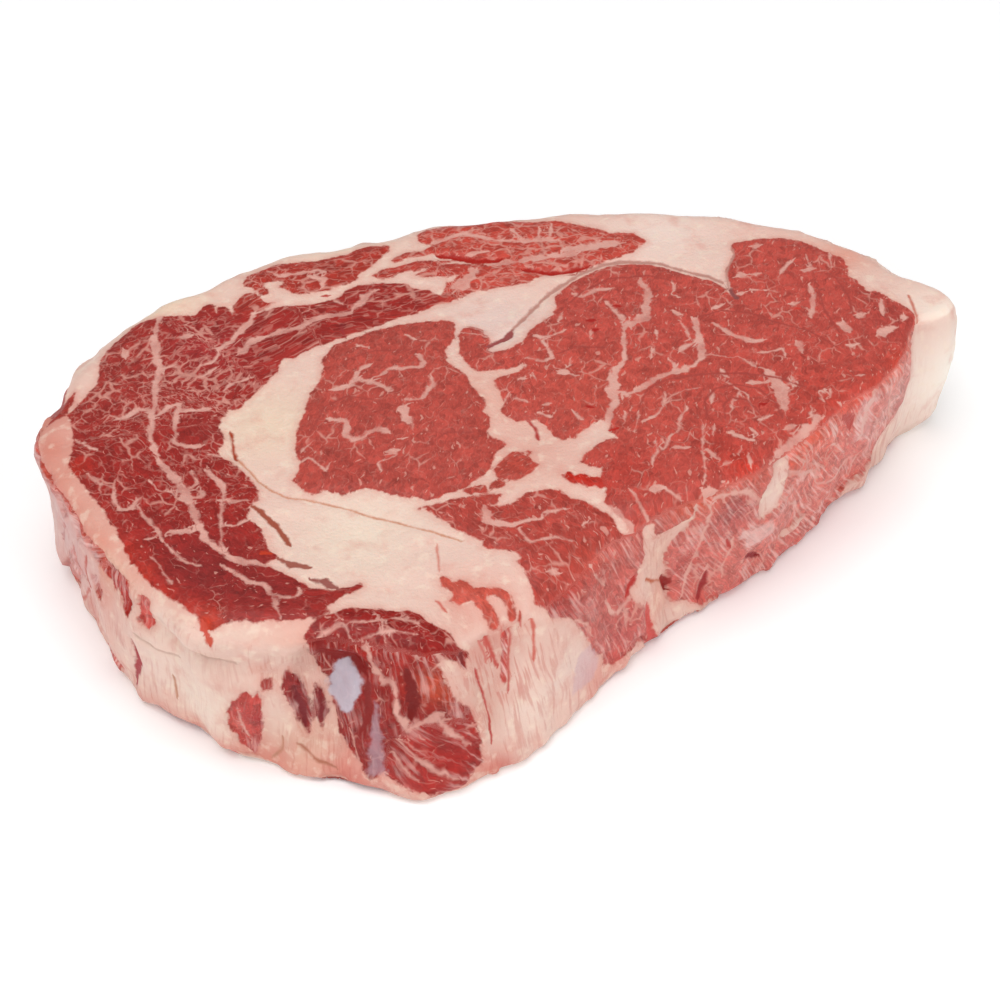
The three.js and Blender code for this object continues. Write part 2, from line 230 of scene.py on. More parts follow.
BACK_SEAMS = [
    ([1.0], [(-45, 59.5), (-43.3, 57), (-38.3, 56.3), (-34.2, 56.7), (-33.3, 55.4)]),
    ([1.4], [(-36.3, 54.2), (-33.8, 52.5), (-34.6, 50.8)]),
    ([1.5], [(-6.3, 61.3), (-0.4, 62.5), (2.5, 61.7), (6.7, 58.3), (13.3, 56.3), (20, 55.4)]),
    ([0.9], [(11.7, 61.3), (12.5, 58.5)]),
    ([0.8], [(16.7, 56.7), (17.9, 60.4)]),
    ([0.8], [(19.5, 56.5), (20.8, 61.3)]),
    ([2.4, 3.6, 3.0], [(21.7, 50.7), (26.3, 51.3), (30, 51.8), (33.5, 51)]),
    ([2.0], [(3.8, 50.4), (10, 49.6), (16.7, 49.6), (23.3, 49.2)]),
    ([1.0], [(0, 54.6), (3.8, 55)]),
    ([3.5], [(-5.5, 43.5), (-3, 46), (-1, 48)]),
]
EYE_SEAMS = [
    ([1.4], [(-39.2, 14.6), (-35.8, 15), (-34.2, 16.7), (-33.3, 19.2), (-30.4, 20.8)]),
    ([1.3], [(-33.3, 16.7), (-30.8, 14.6), (-28.8, 12.9), (-27.9, 11.3)]),
    ([1.2], [(-29.2, 16.7), (-25.8, 18.5), (-23.8, 17.7), (-20, 17.5), (-18.3, 18.8),
             (-19.2, 21.3)]),
    ([1.2], [(-24.6, 7), (-21.3, 7), (-18.8, 10.4), (-18.3, 12.9)]),
    ([2.4], [(-26, 4.5), (-26.3, 1)]),
    ([1.5], [(-41.7, 5), (-39.2, 4.2), (-38.8, 1.7), (-40, -0.4), (-38.8, -2.1), (-36.3, -2.5),
             (-34.6, -0.8), (-32.9, -0.2), (-31.3, -1.7)]),
    ([1.8], [(-31.5, -7.5), (-31, -7.5)]),
    ([1.2], [(-28.6, -4.4), (-28.3, -4.4)]),
    ([0.6], [(-49.2, -2.5), (-47, -0.8)]),
    ([0.7], [(-50, -5.4), (-48.3, -5), (-45.8, -9.6), (-44.6, -8.3)]),
    ([0.5], [(-35, -12.5), (-34.6, -10), (-30.8, -8.8)]),
    ([0.8], [(-20, 29), (-19, 27.5)]),
    ([0.8], [(-31, 28), (-29.5, 27)]),
    ([0.5], [(-8, 27.5), (-3.5, 24.5)]),
    ([1.7, 1.7, 1.3, 1.2, 2.0, 2.2, 3.5, 2.5, 1.6, 1.4, 2.5, 5.0],
     [(27.5, 22), (26.7, 20.4), (25, 16.7), (23.3, 9.2), (20.8, 6.7), (19.2, 3.8), (18.3, 0.4),
      (17.9, -2.1), (16.7, -5), (15, -7.9), (13.3, -10.4), (10.8, -11.7)]),
    ([3.0, 1.5, 1.5, 1.2, 1.2, 2.5, 1.2, 1.4, 2.0, 2.4, 1.6, 2.0],
     [(18.3, 0.4), (20.8, -1.7), (24.6, -0.4), (27.5, 1.3), (30.8, 2.5), (33.3, 3.3), (37, 3.8),
      (39.2, 5.8), (40.4, 8.3), (41.3, 11.3), (41.7, 14.2), (41.9, 18.8)]),
    ([1.2], [(33.3, 3.3), (32.9, 6.7)]),
    ([1.1], [(28.8, 21.3), (27, 23), (25.8, 28.3), (25.4, 30)]),
    ([1.4, 2.6, 1.2], [(28.8, 21.3), (31.7, 21.7), (33.3, 26.7), (35.2, 31.3), (34.8, 36.5)]),
    ([2.6], [(28.5, 20.8), (31, 23)]),
    ([0.9], [(7, 21.7), (7.9, 20.8), (8.5, 15.8), (8.3, 13.8), (6.3, 12.9), (3.3, 14.6)]),
    ([0.7], [(7.9, 21), (10.8, 21.7), (13.3, 22.5)]),
    ([2.2], [(9.6, 8.3), (10, 8.3)]),
    ([0.5], [(8, 10.5), (9.8, 8.3), (12, 6.5)]),
    ([0.6], [(8.3, -4.2), (9.2, -7)]),
    ([0.9], [(3.1, -0.8), (3.6, -0.8)]),
    ([0.9], [(0.2, 8.3), (0.7, 8.3)]),
    ([1.2], [(35.8, 9.2), (37.1, 10.6), (40, 11.7)]),
    ([0.7], [(38.8, 18.8), (39, 15), (39.2, 12.9)]),
    ([1.2], [(46, 16.3), (47.9, 13.3), (50, 10.8), (52, 8.8), (54.2, 8.8)]),
    ([0.4], [(40.8, 7), (45, 5.4), (47.9, 3.3), (50, 0.4)]),
    ([1.2], [(19.5, 35), (20.5, 34), (24, 35.5), (27, 35.3)]),
    ([2.5, 3.5, 3.0, 1.5], [(52.5, -2), (52.9, -6.3), (52.5, -10.4), (51.7, -13.8)]),
    ([1.5], [(47.5, -4.2), (50.4, -4.6)]),
    ([1.0], [(47.5, 22), (49.6, 22.9)]),
    ([0.7, 0.5, 0.9], [(31.5, -9.5), (29.4, -12), (28, -15.4), (25.6, -17), (23.3, -20.4)]),
    ([0.4], [(33.5, -14), (32.6, -18), (31.2, -22), (30.2, -26), (29.2, -30), (27.8, -34),
             (26, -38.5)]),
    ([0.3], [(27.6, -7), (30, -4.7), (33, -3.3), (36, -3.4)]),
    ([0.3], [(41, -1.6), (43.4, -4.4), (45.4, -8), (45.2, -12), (44.6, -15)]),
    ([0.5], [(47.2, 4.6), (49, 2.4), (51, 0), (52.4, -1.4)]),
    ([0.35], [(21.4, -8), (20.2, -11), (18.8, -13.6)]),
    ([0.9, 0.6], [(22.2, -17.6), (21.4, -21), (19.4, -24.6)]),
    ([0.9], [(18.5, -7.6), (18.2, -9.2)]),
    ([1.0, 0.5], [(21.8, -10.8), (24.6, -10), (27, -7.4), (28.6, -3.6)]),
    ([0.9], [(38.2, -5.4), (37.4, -8.4)]),
    ([0.7], [(42.2, -8.4), (41, -11)]),
    ([0.7], [(43.6, -7.2), (42.8, -8.8)]),
    ([0.9], [(42.7, 0.8), (43, -1)]),
    ([1.0], [(45.8, -16.4), (47.6, -15.8)]),
    ([1.6, 1.0], [(38.6, -19.4), (40, -20.4), (41.6, -22)]),
    ([0.7], [(42.8, -18.8), (43.4, -20.4)]),
    ([1.0, 0.5], [(35.6, -16.4), (34.4, -18.6)]),
    ([1.4], [(26, -20.8), (27.6, -21.2)]),
    ([1.3, 1.0], [(32, -23.4), (33.2, -26)]),
    ([1.2], [(34, -28), (35.2, -27.6)]),
    ([0.9], [(39.2, -28.2), (39.6, -26.6)]),
    ([0.7], [(38.8, -24), (38, -25.4)]),
    ([1.2], [(50, -20.2), (51.4, -19.8)]),
    ([0.8], [(57.2, -15.2), (56.2, -17.2)]),
    ([0.9], [(61.6, -10.4), (60.6, -12.6)]),
    ([0.5], [(63, -10.8), (62.4, -12.6)]),
    ([0.7], [(56.6, -4.6), (56.2, -7)]),
    ([0.9], [(14.6, 28.6), (13.4, 26.4)]),
    ([0.8], [(41.4, 33.6), (41, 31)]),
    ([0.9], [(40.4, 29.2), (41, 28.4)]),
    ([1.0], [(38.6, 22.8), (39.4, 21.6)]),
    ([0.7], [(32.6, 16.6), (32, 14.6)]),
    ([0.6], [(30, 11), (29.2, 8.6)]),
    ([0.7], [(19, 20.6), (18.4, 18.8)]),
    ([0.8], [(12.2, 12.4), (11.4, 10.4)]),
    ([0.6], [(3, 9), (3.2, 7.6)]),
    ([0.8], [(-2.6, 2.4), (-0.6, 1.4)]),
    ([0.7], [(-3.6, 4), (-4.6, 2.8)]),
    ([0.6], [(1.4, -3), (3, -4.4)]),
]
SIDE_MUSCLE_SEAMS = [
    ([2.0], [(63.3, 41.7), (63.7, 41.7)]),
    ([2.2], [(56.5, 32), (56.9, 32)]),
    ([1.8], [(59.8, 31.7), (60.2, 31.7)]),
    ([2.0], [(71.5, 30), (72.5, 30)]),
    ([0.8], [(70, 34.6), (67, 32), (65.8, 30.8)]),
    ([0.3], [(73.3, 35.4), (72.9, 31.2)]),
    ([0.4], [(78.8, 35.4), (77.5, 30.4)]),
    ([0.9], [(60.4, 25.4), (57.9, 26.3)]),
    ([1.5], [(55, 25.8), (55.4, 25.8)]),
    ([1.3], [(70.6, 24.2), (70, 20.8), (68.8, 17.5), (67.5, 14.6)]),
    ([1.6], [(64.8, 19.2), (65.2, 19.2)]),
    ([2.6], [(73.3, 10.2), (73.3, 8.6)]),
    ([1.8], [(77.5, 11.9), (77.9, 11.9)]),
    ([1.3], [(83.8, 15.4), (82.9, 11.7)]),
    ([1.6], [(87, 9.8), (86.8, 9.4)]),
    ([3.2, 1.0], [(80.8, 5.6), (83.8, 6.5)]),
    ([2.0], [(72.7, 2.9), (73.1, 2.9)]),
    ([1.6], [(61.5, 6), (61.5, 3.8)]),
    ([0.8], [(52.5, 5), (57.5, 5), (57.5, 3)]),
    ([0.9], [(56.3, -5.4), (56.7, -5.4)]),
    ([0.9], [(70.6, -7.5), (71, -7.5)]),
    ([1.2], [(60.8, -10.6), (60.4, -13)]),
]
BLOCK_SEAMS = [
    ([2.6, 1.4, 0.8], [(-16.7, -28.8), (-17, -31.3), (-12.9, -34.2), (-10, -33.5), (-6.3, -33.3)]),
    ([0.8], [(-4.6, -32), (-0.8, -32)]),
    ([0.7], [(-12, -34.6), (-11.3, -36.7), (-10.4, -38.8)]),
    ([0.7], [(-10, -39.4), (-7.5, -39.2), (-5, -38.8), (-2, -40)]),
    ([2.0], [(-7.5, -46.5), (-7.1, -46.5)]),
    ([0.8], [(2, -36.3), (2.3, -36.1)]),
    ([1.5, 3.0], [(0.4, -27.1), (3.8, -30), (6.7, -32.5), (8.8, -35.8), (10.8, -38.8),
                  (12.5, -41.7), (12.5, -46)]),
    ([0.6], [(13.3, -30.4), (13.8, -34.2), (15, -37.5)]),
    ([2.4], [(18.6, -31.3), (19, -31.3)]),
    ([0.8], [(18.8, -31.3), (22.5, -33.8)]),
    ([4.0, 5.5, 4.0], [(29.5, -33.5), (32.5, -34.5), (36.5, -33)]),
    ([3.0, 1.6, 1.6, 2.4], [(44, -30), (46, -26.4), (50, -23.6), (53.6, -21), (57.6, -18.4)]),
    ([2.0], [(64.5, -14.2), (68, -14.4)]),
]
TAIL_SEAMS = [
    ([0.5], [(-56, -54.5), (-51, -53), (-46, -54), (-41, -53.5), (-37, -55.5)]),
    ([0.4], [(-52, -50.8), (-50.5, -53.5), (-50, -57)]),
    ([0.4], [(-44.5, -51.5), (-43.5, -54), (-44, -58)]),
    ([0.5], [(-48, -57), (-43, -56.5), (-38, -58)]),
    ([0.4], [(-39, -52.5), (-38, -55), (-35.5, -57)]),
]

# ---------------------------------------------------------------------------------------
# Dark, red and brown lines: (tone, how deep they sink in mm, widths, points)
# ---------------------------------------------------------------------------------------

SHEATH = "#bd887c"  # the connective sheath between muscles, grey-brown
SHEATH_DARK = "#8c4c4a"
GROOVE_SHADE_RED = "#a51c12"  # painted shade: the deep red of the shadow inside an open groove
CRACK = "#cb8c70"  # a hairline split in fat, stained orange-brown
FIBRE_LINE = "#a3423a"  # where sheets of fibre part a little
KERNEL_LEAN = "#a0503c"  # slivers of lean shut in the fat

TOP_LINES = [
    # The first two lines are open grooves; their deep red is painted shade
    (GROOVE_SHADE_RED, 0.7, [1.4], [(-6.3, 56.3), (-2.5, 54.6), (0.8, 52.5), (5.8, 51.5)]),
    (GROOVE_SHADE_RED, 0.6, [1.2], [(10.8, 46.3), (16.7, 44), (20.8, 43.8), (24.6, 44.6)]),
    ("#9a4c4a", 0.5, [1.0, 1.7, 1.5], [(-3.5, 21.5), (-1, 22.8), (1, 23.5), (2.3, 25.3)]),
    ("#b86055", 0.1, [0.4], [(-6, 29.5), (-3.7, 27.5)]),
    (SHEATH, 0.3, [0.8, 1.3, 0.9, 1.2, 0.8, 1.1],
     [(3, 26.5), (7, 30.4), (12, 35.6), (17, 39.2), (23, 42.6), (29, 44.5), (33, 44.4),
      (37, 43.5), (41, 41.6), (45, 37.8), (50, 34.3), (52, 31.4)]),
    (SHEATH_DARK, 0.3, [0.9], [(53, 28), (53.4, 25)]),
    (SHEATH, 0.2, [0.35], [(53.1, 29.2), (54.2, 34.6), (57.9, 40), (58.3, 42.5)]),
    (KERNEL_LEAN, 0.1, [1.0, 1.5, 1.0],
     [(-62, -17), (-60.8, -18.8), (-59.2, -21.7), (-58.5, -23.3), (-57.5, -26.7), (-57, -28.8)]),
    ("#a05a4c", 0.1, [1.2, 2.0, 1.4], [(-59.4, -33.1), (-57.5, -35.2), (-55, -36.7)]),
    ("#9a5850", 0.1, [1.2, 2.4, 1.8], [(-54.4, -40.4), (-52.1, -41.7), (-50.8, -43.3)]),
    ("#c03a20", 0.0, [1.4], [(-62.2, -31), (-61.8, -31)]),
    ("#a43c20", 0.6, [0.7], [(-62.5, 7.5), (-62.5, 5), (-63, 1.7), (-62.8, -1)]),
    (CRACK, 0.25, [0.5, 0.3, 0.4, 0.3],
     [(-62.8, -1), (-61.7, -3.3), (-59.6, -8.8), (-57.5, -12.5), (-55, -15.2), (-51.3, -16.7),
      (-42.9, -21.7), (-40, -24.2), (-35, -26.7), (-30.8, -30), (-26.7, -32.9), (-23.3, -35.4)]),
    ("#b83c34", 0.0, [1.0], [(-34.6, 47.5), (-34.2, 47.5)]),
    # A small hole: its dark red dot is painted shade
    ("#7a1c1c", 0.5, [1.1], [(-33.5, 36.3), (-33.1, 36.3)]),
    ("#9a3030", 0.2, [0.5], [(-33.3, 36.3), (-33.3, 32)]),
    ("#d08272", 0.0, [0.3], [(-28.4, -35.5), (-29, -40), (-29.6, -42.4)]),
    ("#cc6a5c", 0.0, [0.5], [(-31.6, -50.4), (-30.6, -52.6)]),
    ("#b84434", 0.1, [0.6], [(-16, -54.2), (-16.4, -55.4)]),
    ("#b8241c", 0.2, [1.0], [(14.8, -11.5), (15.2, -11.5)]),
    ("#b0403a", 0.1, [0.7], [(-1.3, -4.5), (-0.6, -7), (-1, -10)]),
    ("#c0281c", 0.0, [1.2], [(67.7, -16.3), (68.1, -16.3)]),
    ("#a8201a", 0.1, [1.1], [(19.9, 24.5), (20.2, 24.5)]),
    ("#a8201a", 0.1, [0.9], [(20.1, 21), (20.4, 21)]),
    ("#a8201a", 0.1, [1.0], [(26.9, 28.5), (27.2, 28.4)]),
    ("#a8201a", 0.1, [0.9], [(11.9, -3.8), (12.2, -3.9)]),
    ("#a8201a", 0.1, [1.0], [(47.4, -11.8), (47.7, -11.8)]),
    ("#c84a38", 0.2, [1.6, 1.2], [(-77.2, -47), (-77, -50), (-76.8, -52.5)]),
    ("#c83c30", 0.0, [0.8], [(64.9, 17.5), (65.1, 17.5)]),
    (FIBRE_LINE, 0.1, [0.35, 0.5, 0.3],
     [(35, -13), (36, -7.6), (39.4, -4.4), (44, -4), (48.4, -6.4), (50.4, -12), (50.2, -17)]),
    (FIBRE_LINE, 0.1, [0.3, 0.45, 0.3],
     [(38.6, -14), (39.4, -10), (42, -8), (44.8, -9.6), (46, -14)]),
    (FIBRE_LINE, 0.1, [0.3, 0.5, 0.3],
     [(22, -6.4), (25.4, -1.2), (30, 0.8), (37, 1), (46, -0.6), (53, -3.4), (58, -8)]),
    (FIBRE_LINE, 0.1, [0.3, 0.5, 0.3],
     [(43.6, 20), (49, 21), (55, 18), (60.6, 13), (65.4, 9.6), (69, 3)]),
    (FIBRE_LINE, 0.1, [0.3, 0.4, 0.3], [(17, 32), (21, 35.4), (28, 38.6), (37, 37.6), (43, 33)]),
    (FIBRE_LINE, 0.1, [0.4], [(71.6, 22), (70.8, 15), (71.4, 8)]),
    (FIBRE_LINE, 0.1, [0.4], [(77, 26), (77.4, 19), (76.4, 13)]),
    (FIBRE_LINE, 0.1, [0.35], [(10, 15), (14.6, 16.6), (20, 14.4)]),
    (FIBRE_LINE, 0.1, [0.3, 0.45, 0.3], [(-47, 2), (-42, 9.6), (-37, 11.6), (-32, 9)]),
    (FIBRE_LINE, 0.1, [0.3, 0.45, 0.3], [(-34, 24), (-28, 25.6), (-21, 23.6), (-16, 26)]),
    (FIBRE_LINE, 0.1, [0.35], [(-24, -8), (-19, -4.6), (-14.4, -6)]),
    ("#c87a68", 0.3, [0.6], [(91, 16.3), (90.6, 12.9), (90.4, 10.8), (89.6, 5.8)]),
    ("#b8a090", 0.3, [0.35], [(-85.5, -40), (-82, -44.5), (-78.6, -48.2)]),
]

# ---------------------------------------------------------------------------------------
# The wall, laid flat: mm round the outline from the corner of the lip, and mm of height
# ---------------------------------------------------------------------------------------

TAIL_CUT = [
    (335.4, 38), (335.4, 31.8), (336.5, 27.2), (338.6, 23.8), (339.1, 18.8), (340.4, 14.7),
    (341.1, 11.3), (342.9, 7.6), (346.9, 5.9), (348.6, 3.4), (350, 5.4), (351.6, 11),
    (355, 13.4), (359, 13), (363.2, 14.6), (362.9, 17.2), (361.1, 21.3), (360.4, 25.1),
    (360, 28.4), (361.2, 30), (362.8, 28.5), (364.9, 26), (366.5, 28), (367, 33.4), (367.5, 38),
]
TAIL_LOW = [
    (350, 5.6), (350.4, 12), (353, 17), (358, 18), (362.8, 18), (363.4, 11.3), (363.3, 5.1),
    (361.1, 4.7), (359, 0.8), (356.9, 1.8), (354, 3.4), (350.6, 5.2),
]
RIB_LEFT = [
    (385.5, 38), (386.1, 30), (386.5, 26.8), (390.6, 25), (392.4, 21.3), (393.8, 18.5),
    (395.6, 14.7), (396.8, 10.9), (399.6, 8.8), (399.2, 6.3), (402, 4.6), (408, 5.5),
    (412, 4.5), (413, 0), (417, 0), (414.6, 5.5), (413.5, 8.8), (412.4, 12.2), (411, 15.5),
    (408.8, 17), (408.1, 20), (409.2, 22.2), (410.3, 25.1), (412.4, 27.6), (412.8, 33.8),
    (413, 38),
]
RIB_PATCH = [(415.6, 34), (420, 34), (425.5, 33.6), (424.6, 30.6), (420, 29.2), (416, 30)]
RIB_NOTCH = [(439.8, 34.4), (444.6, 34.2), (444.4, 31.6), (442, 29.8), (439.8, 32)]
RIB_MAIN = [
    (426.4, 38), (426, 33.8), (425.6, 29.7), (424.6, 26), (421, 24.7), (419.6, 22.2),
    (419.9, 19.7), (421, 16.3), (421.7, 11.3), (421.7, 7.2), (426, 5.1), (429, 3), (438, 1.5),
    (450, 0), (470, -1), (475.5, 1), (478, 5.5), (483, 5.9), (485.8, 8.6), (490, 10),
    (493.6, 11.3), (496.4, 14.3), (499.3, 18), (501, 22.2), (501, 29.7), (502.1, 35.5),
    (503, 38),
]
RIB_FAT = [
    [(445, 36), (450.8, 36), (449.6, 28.6), (447.4, 22), (444, 20.3), (441.7, 22.5),
     (441.7, 27.5), (443.5, 30), (446, 31.6), (446, 34)],
    [(452, 9.5), (458, 10.2), (461, 8.7), (458, 7.4), (453, 7.6)],
]
CORNER_RED = [(220, 26), (226, 24.5), (227.5, 12), (226.5, -1), (219, -1), (218, 12)]
CORNER_STREAK = [(242, 38), (231, 38), (226, 33), (223, 30), (226, 28.2), (232, 30), (239, 34.5)]
CAP_DROP = [
    (285, 31.5), (287.5, 33.6), (295, 34), (295.6, 30), (293.5, 24.6), (291.5, 26),
    (290.6, 30), (289.3, 28), (288, 29.6),
]
CAP_STRIPE = [(298.3, 34.8), (301.8, 34.6), (301, 28), (299.5, 25), (296.8, 26)]
RIM_STAIN = [
    (244, 36.5), (254, 36), (262, 35.8), (272, 36.4), (284, 35.4), (288, 33.4), (284, 31.6),
    (280, 33), (275, 31.4), (270, 33), (266, 30.6), (262, 33), (257, 31.6), (252, 33.4),
    (247, 32), (243, 33.6),
]
LONG_FOLD = [
    (275, 27), (273.8, 22), (271, 17.4), (267, 12.6), (263.4, 8.4), (260, 3.6), (256.4, 0.6),
    (245, -1), (243.6, 3), (251.6, 4.2), (256, 8), (259.4, 13), (264.6, 18.4), (268.4, 22.8),
    (270.6, 27),
]
LOW_FOLD = [(288, 5.4), (284, 1), (281, -1), (274, -1), (278, 3), (283, 6.6)]
SIDE_STAIN = [(283, 28), (285, 24.6), (284.4, 22), (282, 23), (281, 26.6)]
FRONT_STRIP = [
    (322.7, 22.2), (324, 20.6), (325.4, 22.6), (325.6, 13), (324.7, 7.2), (323.3, 2.6),
    (321.1, 5.1), (319.1, 10.9), (319, 15.5), (320.1, 18.8),
]
FRONT_SPOT = [(326, 24.5), (328, 25), (328.2, 23), (326.3, 22.8)]
# Two sunken pockets in the front wall: their dark red is partly the lean's own and partly painted
# shade in the hollows
POCKET_LEFT = [
    (330.6, 26.6), (332.8, 25.9), (334.7, 21.3), (335.1, 14.7), (334.4, 11), (332.6, 14.7),
    (331.5, 18.4), (330.2, 23.8),
]
POCKET_RIGHT = [
    (336.2, 23), (337.7, 20), (338.3, 15.5), (337, 12), (335.8, 14.7), (335.4, 19.3),
]
COLUMN_STREAK = [(375.2, 34), (376.6, 33.4), (375.8, 26), (373.8, 18.5), (372.6, 19), (374.6, 26)]

# (outline, tone, veins 0 to 1, flecks 0 to 1, grain angle in degrees)
WALL_LEAN = [
    (TAIL_CUT, "#902622", 0.1, 0.2, 97),
    (TAIL_LOW, "#a33430", 0.1, 0.2, -52),
    (RIB_LEFT, "#c1655d", 0.25, 0.3, -70),
    (RIB_PATCH, "#bc5f56", 0.2, 0.3, -60),
    (RIB_NOTCH, "#b24036", 0.1, 0.1, -60),
    (RIB_MAIN, "#cd7067", 0.25, 0.4, -56),
    (CORNER_RED, "#a83c38", 0.2, 0.4, 80),
    (CORNER_STREAK, "#b04a46", 0.1, 0.2, 45),
    (CAP_DROP, "#a8241c", 0.0, 0.1, 85),
    (CAP_STRIPE, "#cc5850", 0.0, 0.1, 85),
    (RIM_STAIN, "#bf5042", 0.0, 0.1, 20),
    (LONG_FOLD, "#c2452f", 0.0, 0.1, 70),
    (LOW_FOLD, "#c8655c", 0.0, 0.1, 60),
    (SIDE_STAIN, "#b64a3e", 0.0, 0.1, 80),
    (FRONT_STRIP, "#bb4a44", 0.0, 0.1, 84),
    (FRONT_SPOT, "#b84c44", 0.0, 0.0, 84),
    # Partly painted shade: the dark tones of the two pockets
    (POCKET_LEFT, "#8c2c2c", 0.0, 0.0, 95),
    (POCKET_RIGHT, "#8e3234", 0.0, 0.0, 95),
    (COLUMN_STREAK, "#c05048", 0.0, 0.0, 97),
]
WALL_SEAMS = [
    ([1.1, 1.3, 1.3, 1.7, 1.2, 1.0, 1.0, 1.7, 1.7, 1.2],
     [(345.1, 34.3), (347.2, 31.8), (347.9, 28.4), (349.7, 25.1), (351.9, 24.9), (352.6, 22.6),
      (352.6, 19.3), (354, 14.7), (356.1, 15.5), (358.8, 18)]),
    ([2.0, 1.0], [(355.6, 32.6), (357.2, 30.2)]),
    ([1.3], [(360.2, 31), (361.4, 28.6)]),
    ([0.5, 0.9, 0.4], [(352.4, 12.6), (355.4, 9), (358.8, 4.6)]),
    ([0.4], [(351.4, 8.6), (354.4, 5.2)]),
    ([1.2, 1.6, 0.6], [(359, 16), (359.6, 13), (361.6, 10)]),
    ([0.6], [(343.6, 12), (344.8, 8), (347, 5)]),
    ([1.2], [(399, 28.6), (401.4, 25)]),
    ([0.9, 1.1, 1.7, 1.2, 0.7],
     [(401.4, 20.4), (402.4, 18), (404.9, 16.2), (407.4, 17.2), (408.6, 20)]),
    ([1.0, 0.5], [(406.6, 15.7), (406.4, 11.5)]),
    ([0.6], [(391.4, 23.4), (394.2, 20.6), (395.6, 17)]),
    ([0.9], [(397.6, 34.5), (398.6, 31)]),
    ([1.1, 1.0, 0.9, 0.8],
     [(428, 33.8), (429.4, 31), (429.2, 25.5), (427.8, 17.2), (426, 12.2), (424.2, 7.6)]),
    ([0.6], [(430.6, 13), (429.4, 9.5), (428.4, 5.5)]),
    ([0.5], [(436.4, 19), (434.6, 14), (433.8, 9)]),
    ([0.9, 1.3, 1.0], [(430.6, 33), (435.3, 33), (438.9, 31), (441, 28)]),
    ([1.4, 1.4, 1.1, 0.8, 1.0, 1.4],
     [(450.3, 29.7), (454.6, 26.8), (458.1, 23.8), (462.4, 21.3), (463.3, 17), (467.4, 15.2),
      (475.5, 15.8)]),
    ([0.6], [(449, 24), (455, 16), (461, 9)]),
    ([0.8], [(466.4, 26.6), (471, 22.5)]),
    ([0.6], [(452, 33), (458, 27), (463, 22.5)]),
    ([1.4, 1.8, 1.0], [(477.6, 34.5), (477.6, 28), (476.4, 22.5)]),
    ([0.7], [(478.4, 16), (478.6, 9)]),
    ([0.7], [(484, 32), (490, 23), (494, 15)]),
    ([0.6], [(489, 34), (494.5, 25.5)]),
    ([0.5], [(481, 25), (487, 16)]),
    ([0.5], [(496, 33.5), (499.5, 27)]),
    ([0.6], [(468, 12), (471, 7), (474.5, 3.5)]),
    ([0.35], [(321, 17), (321.8, 11), (322.6, 7)]),
]
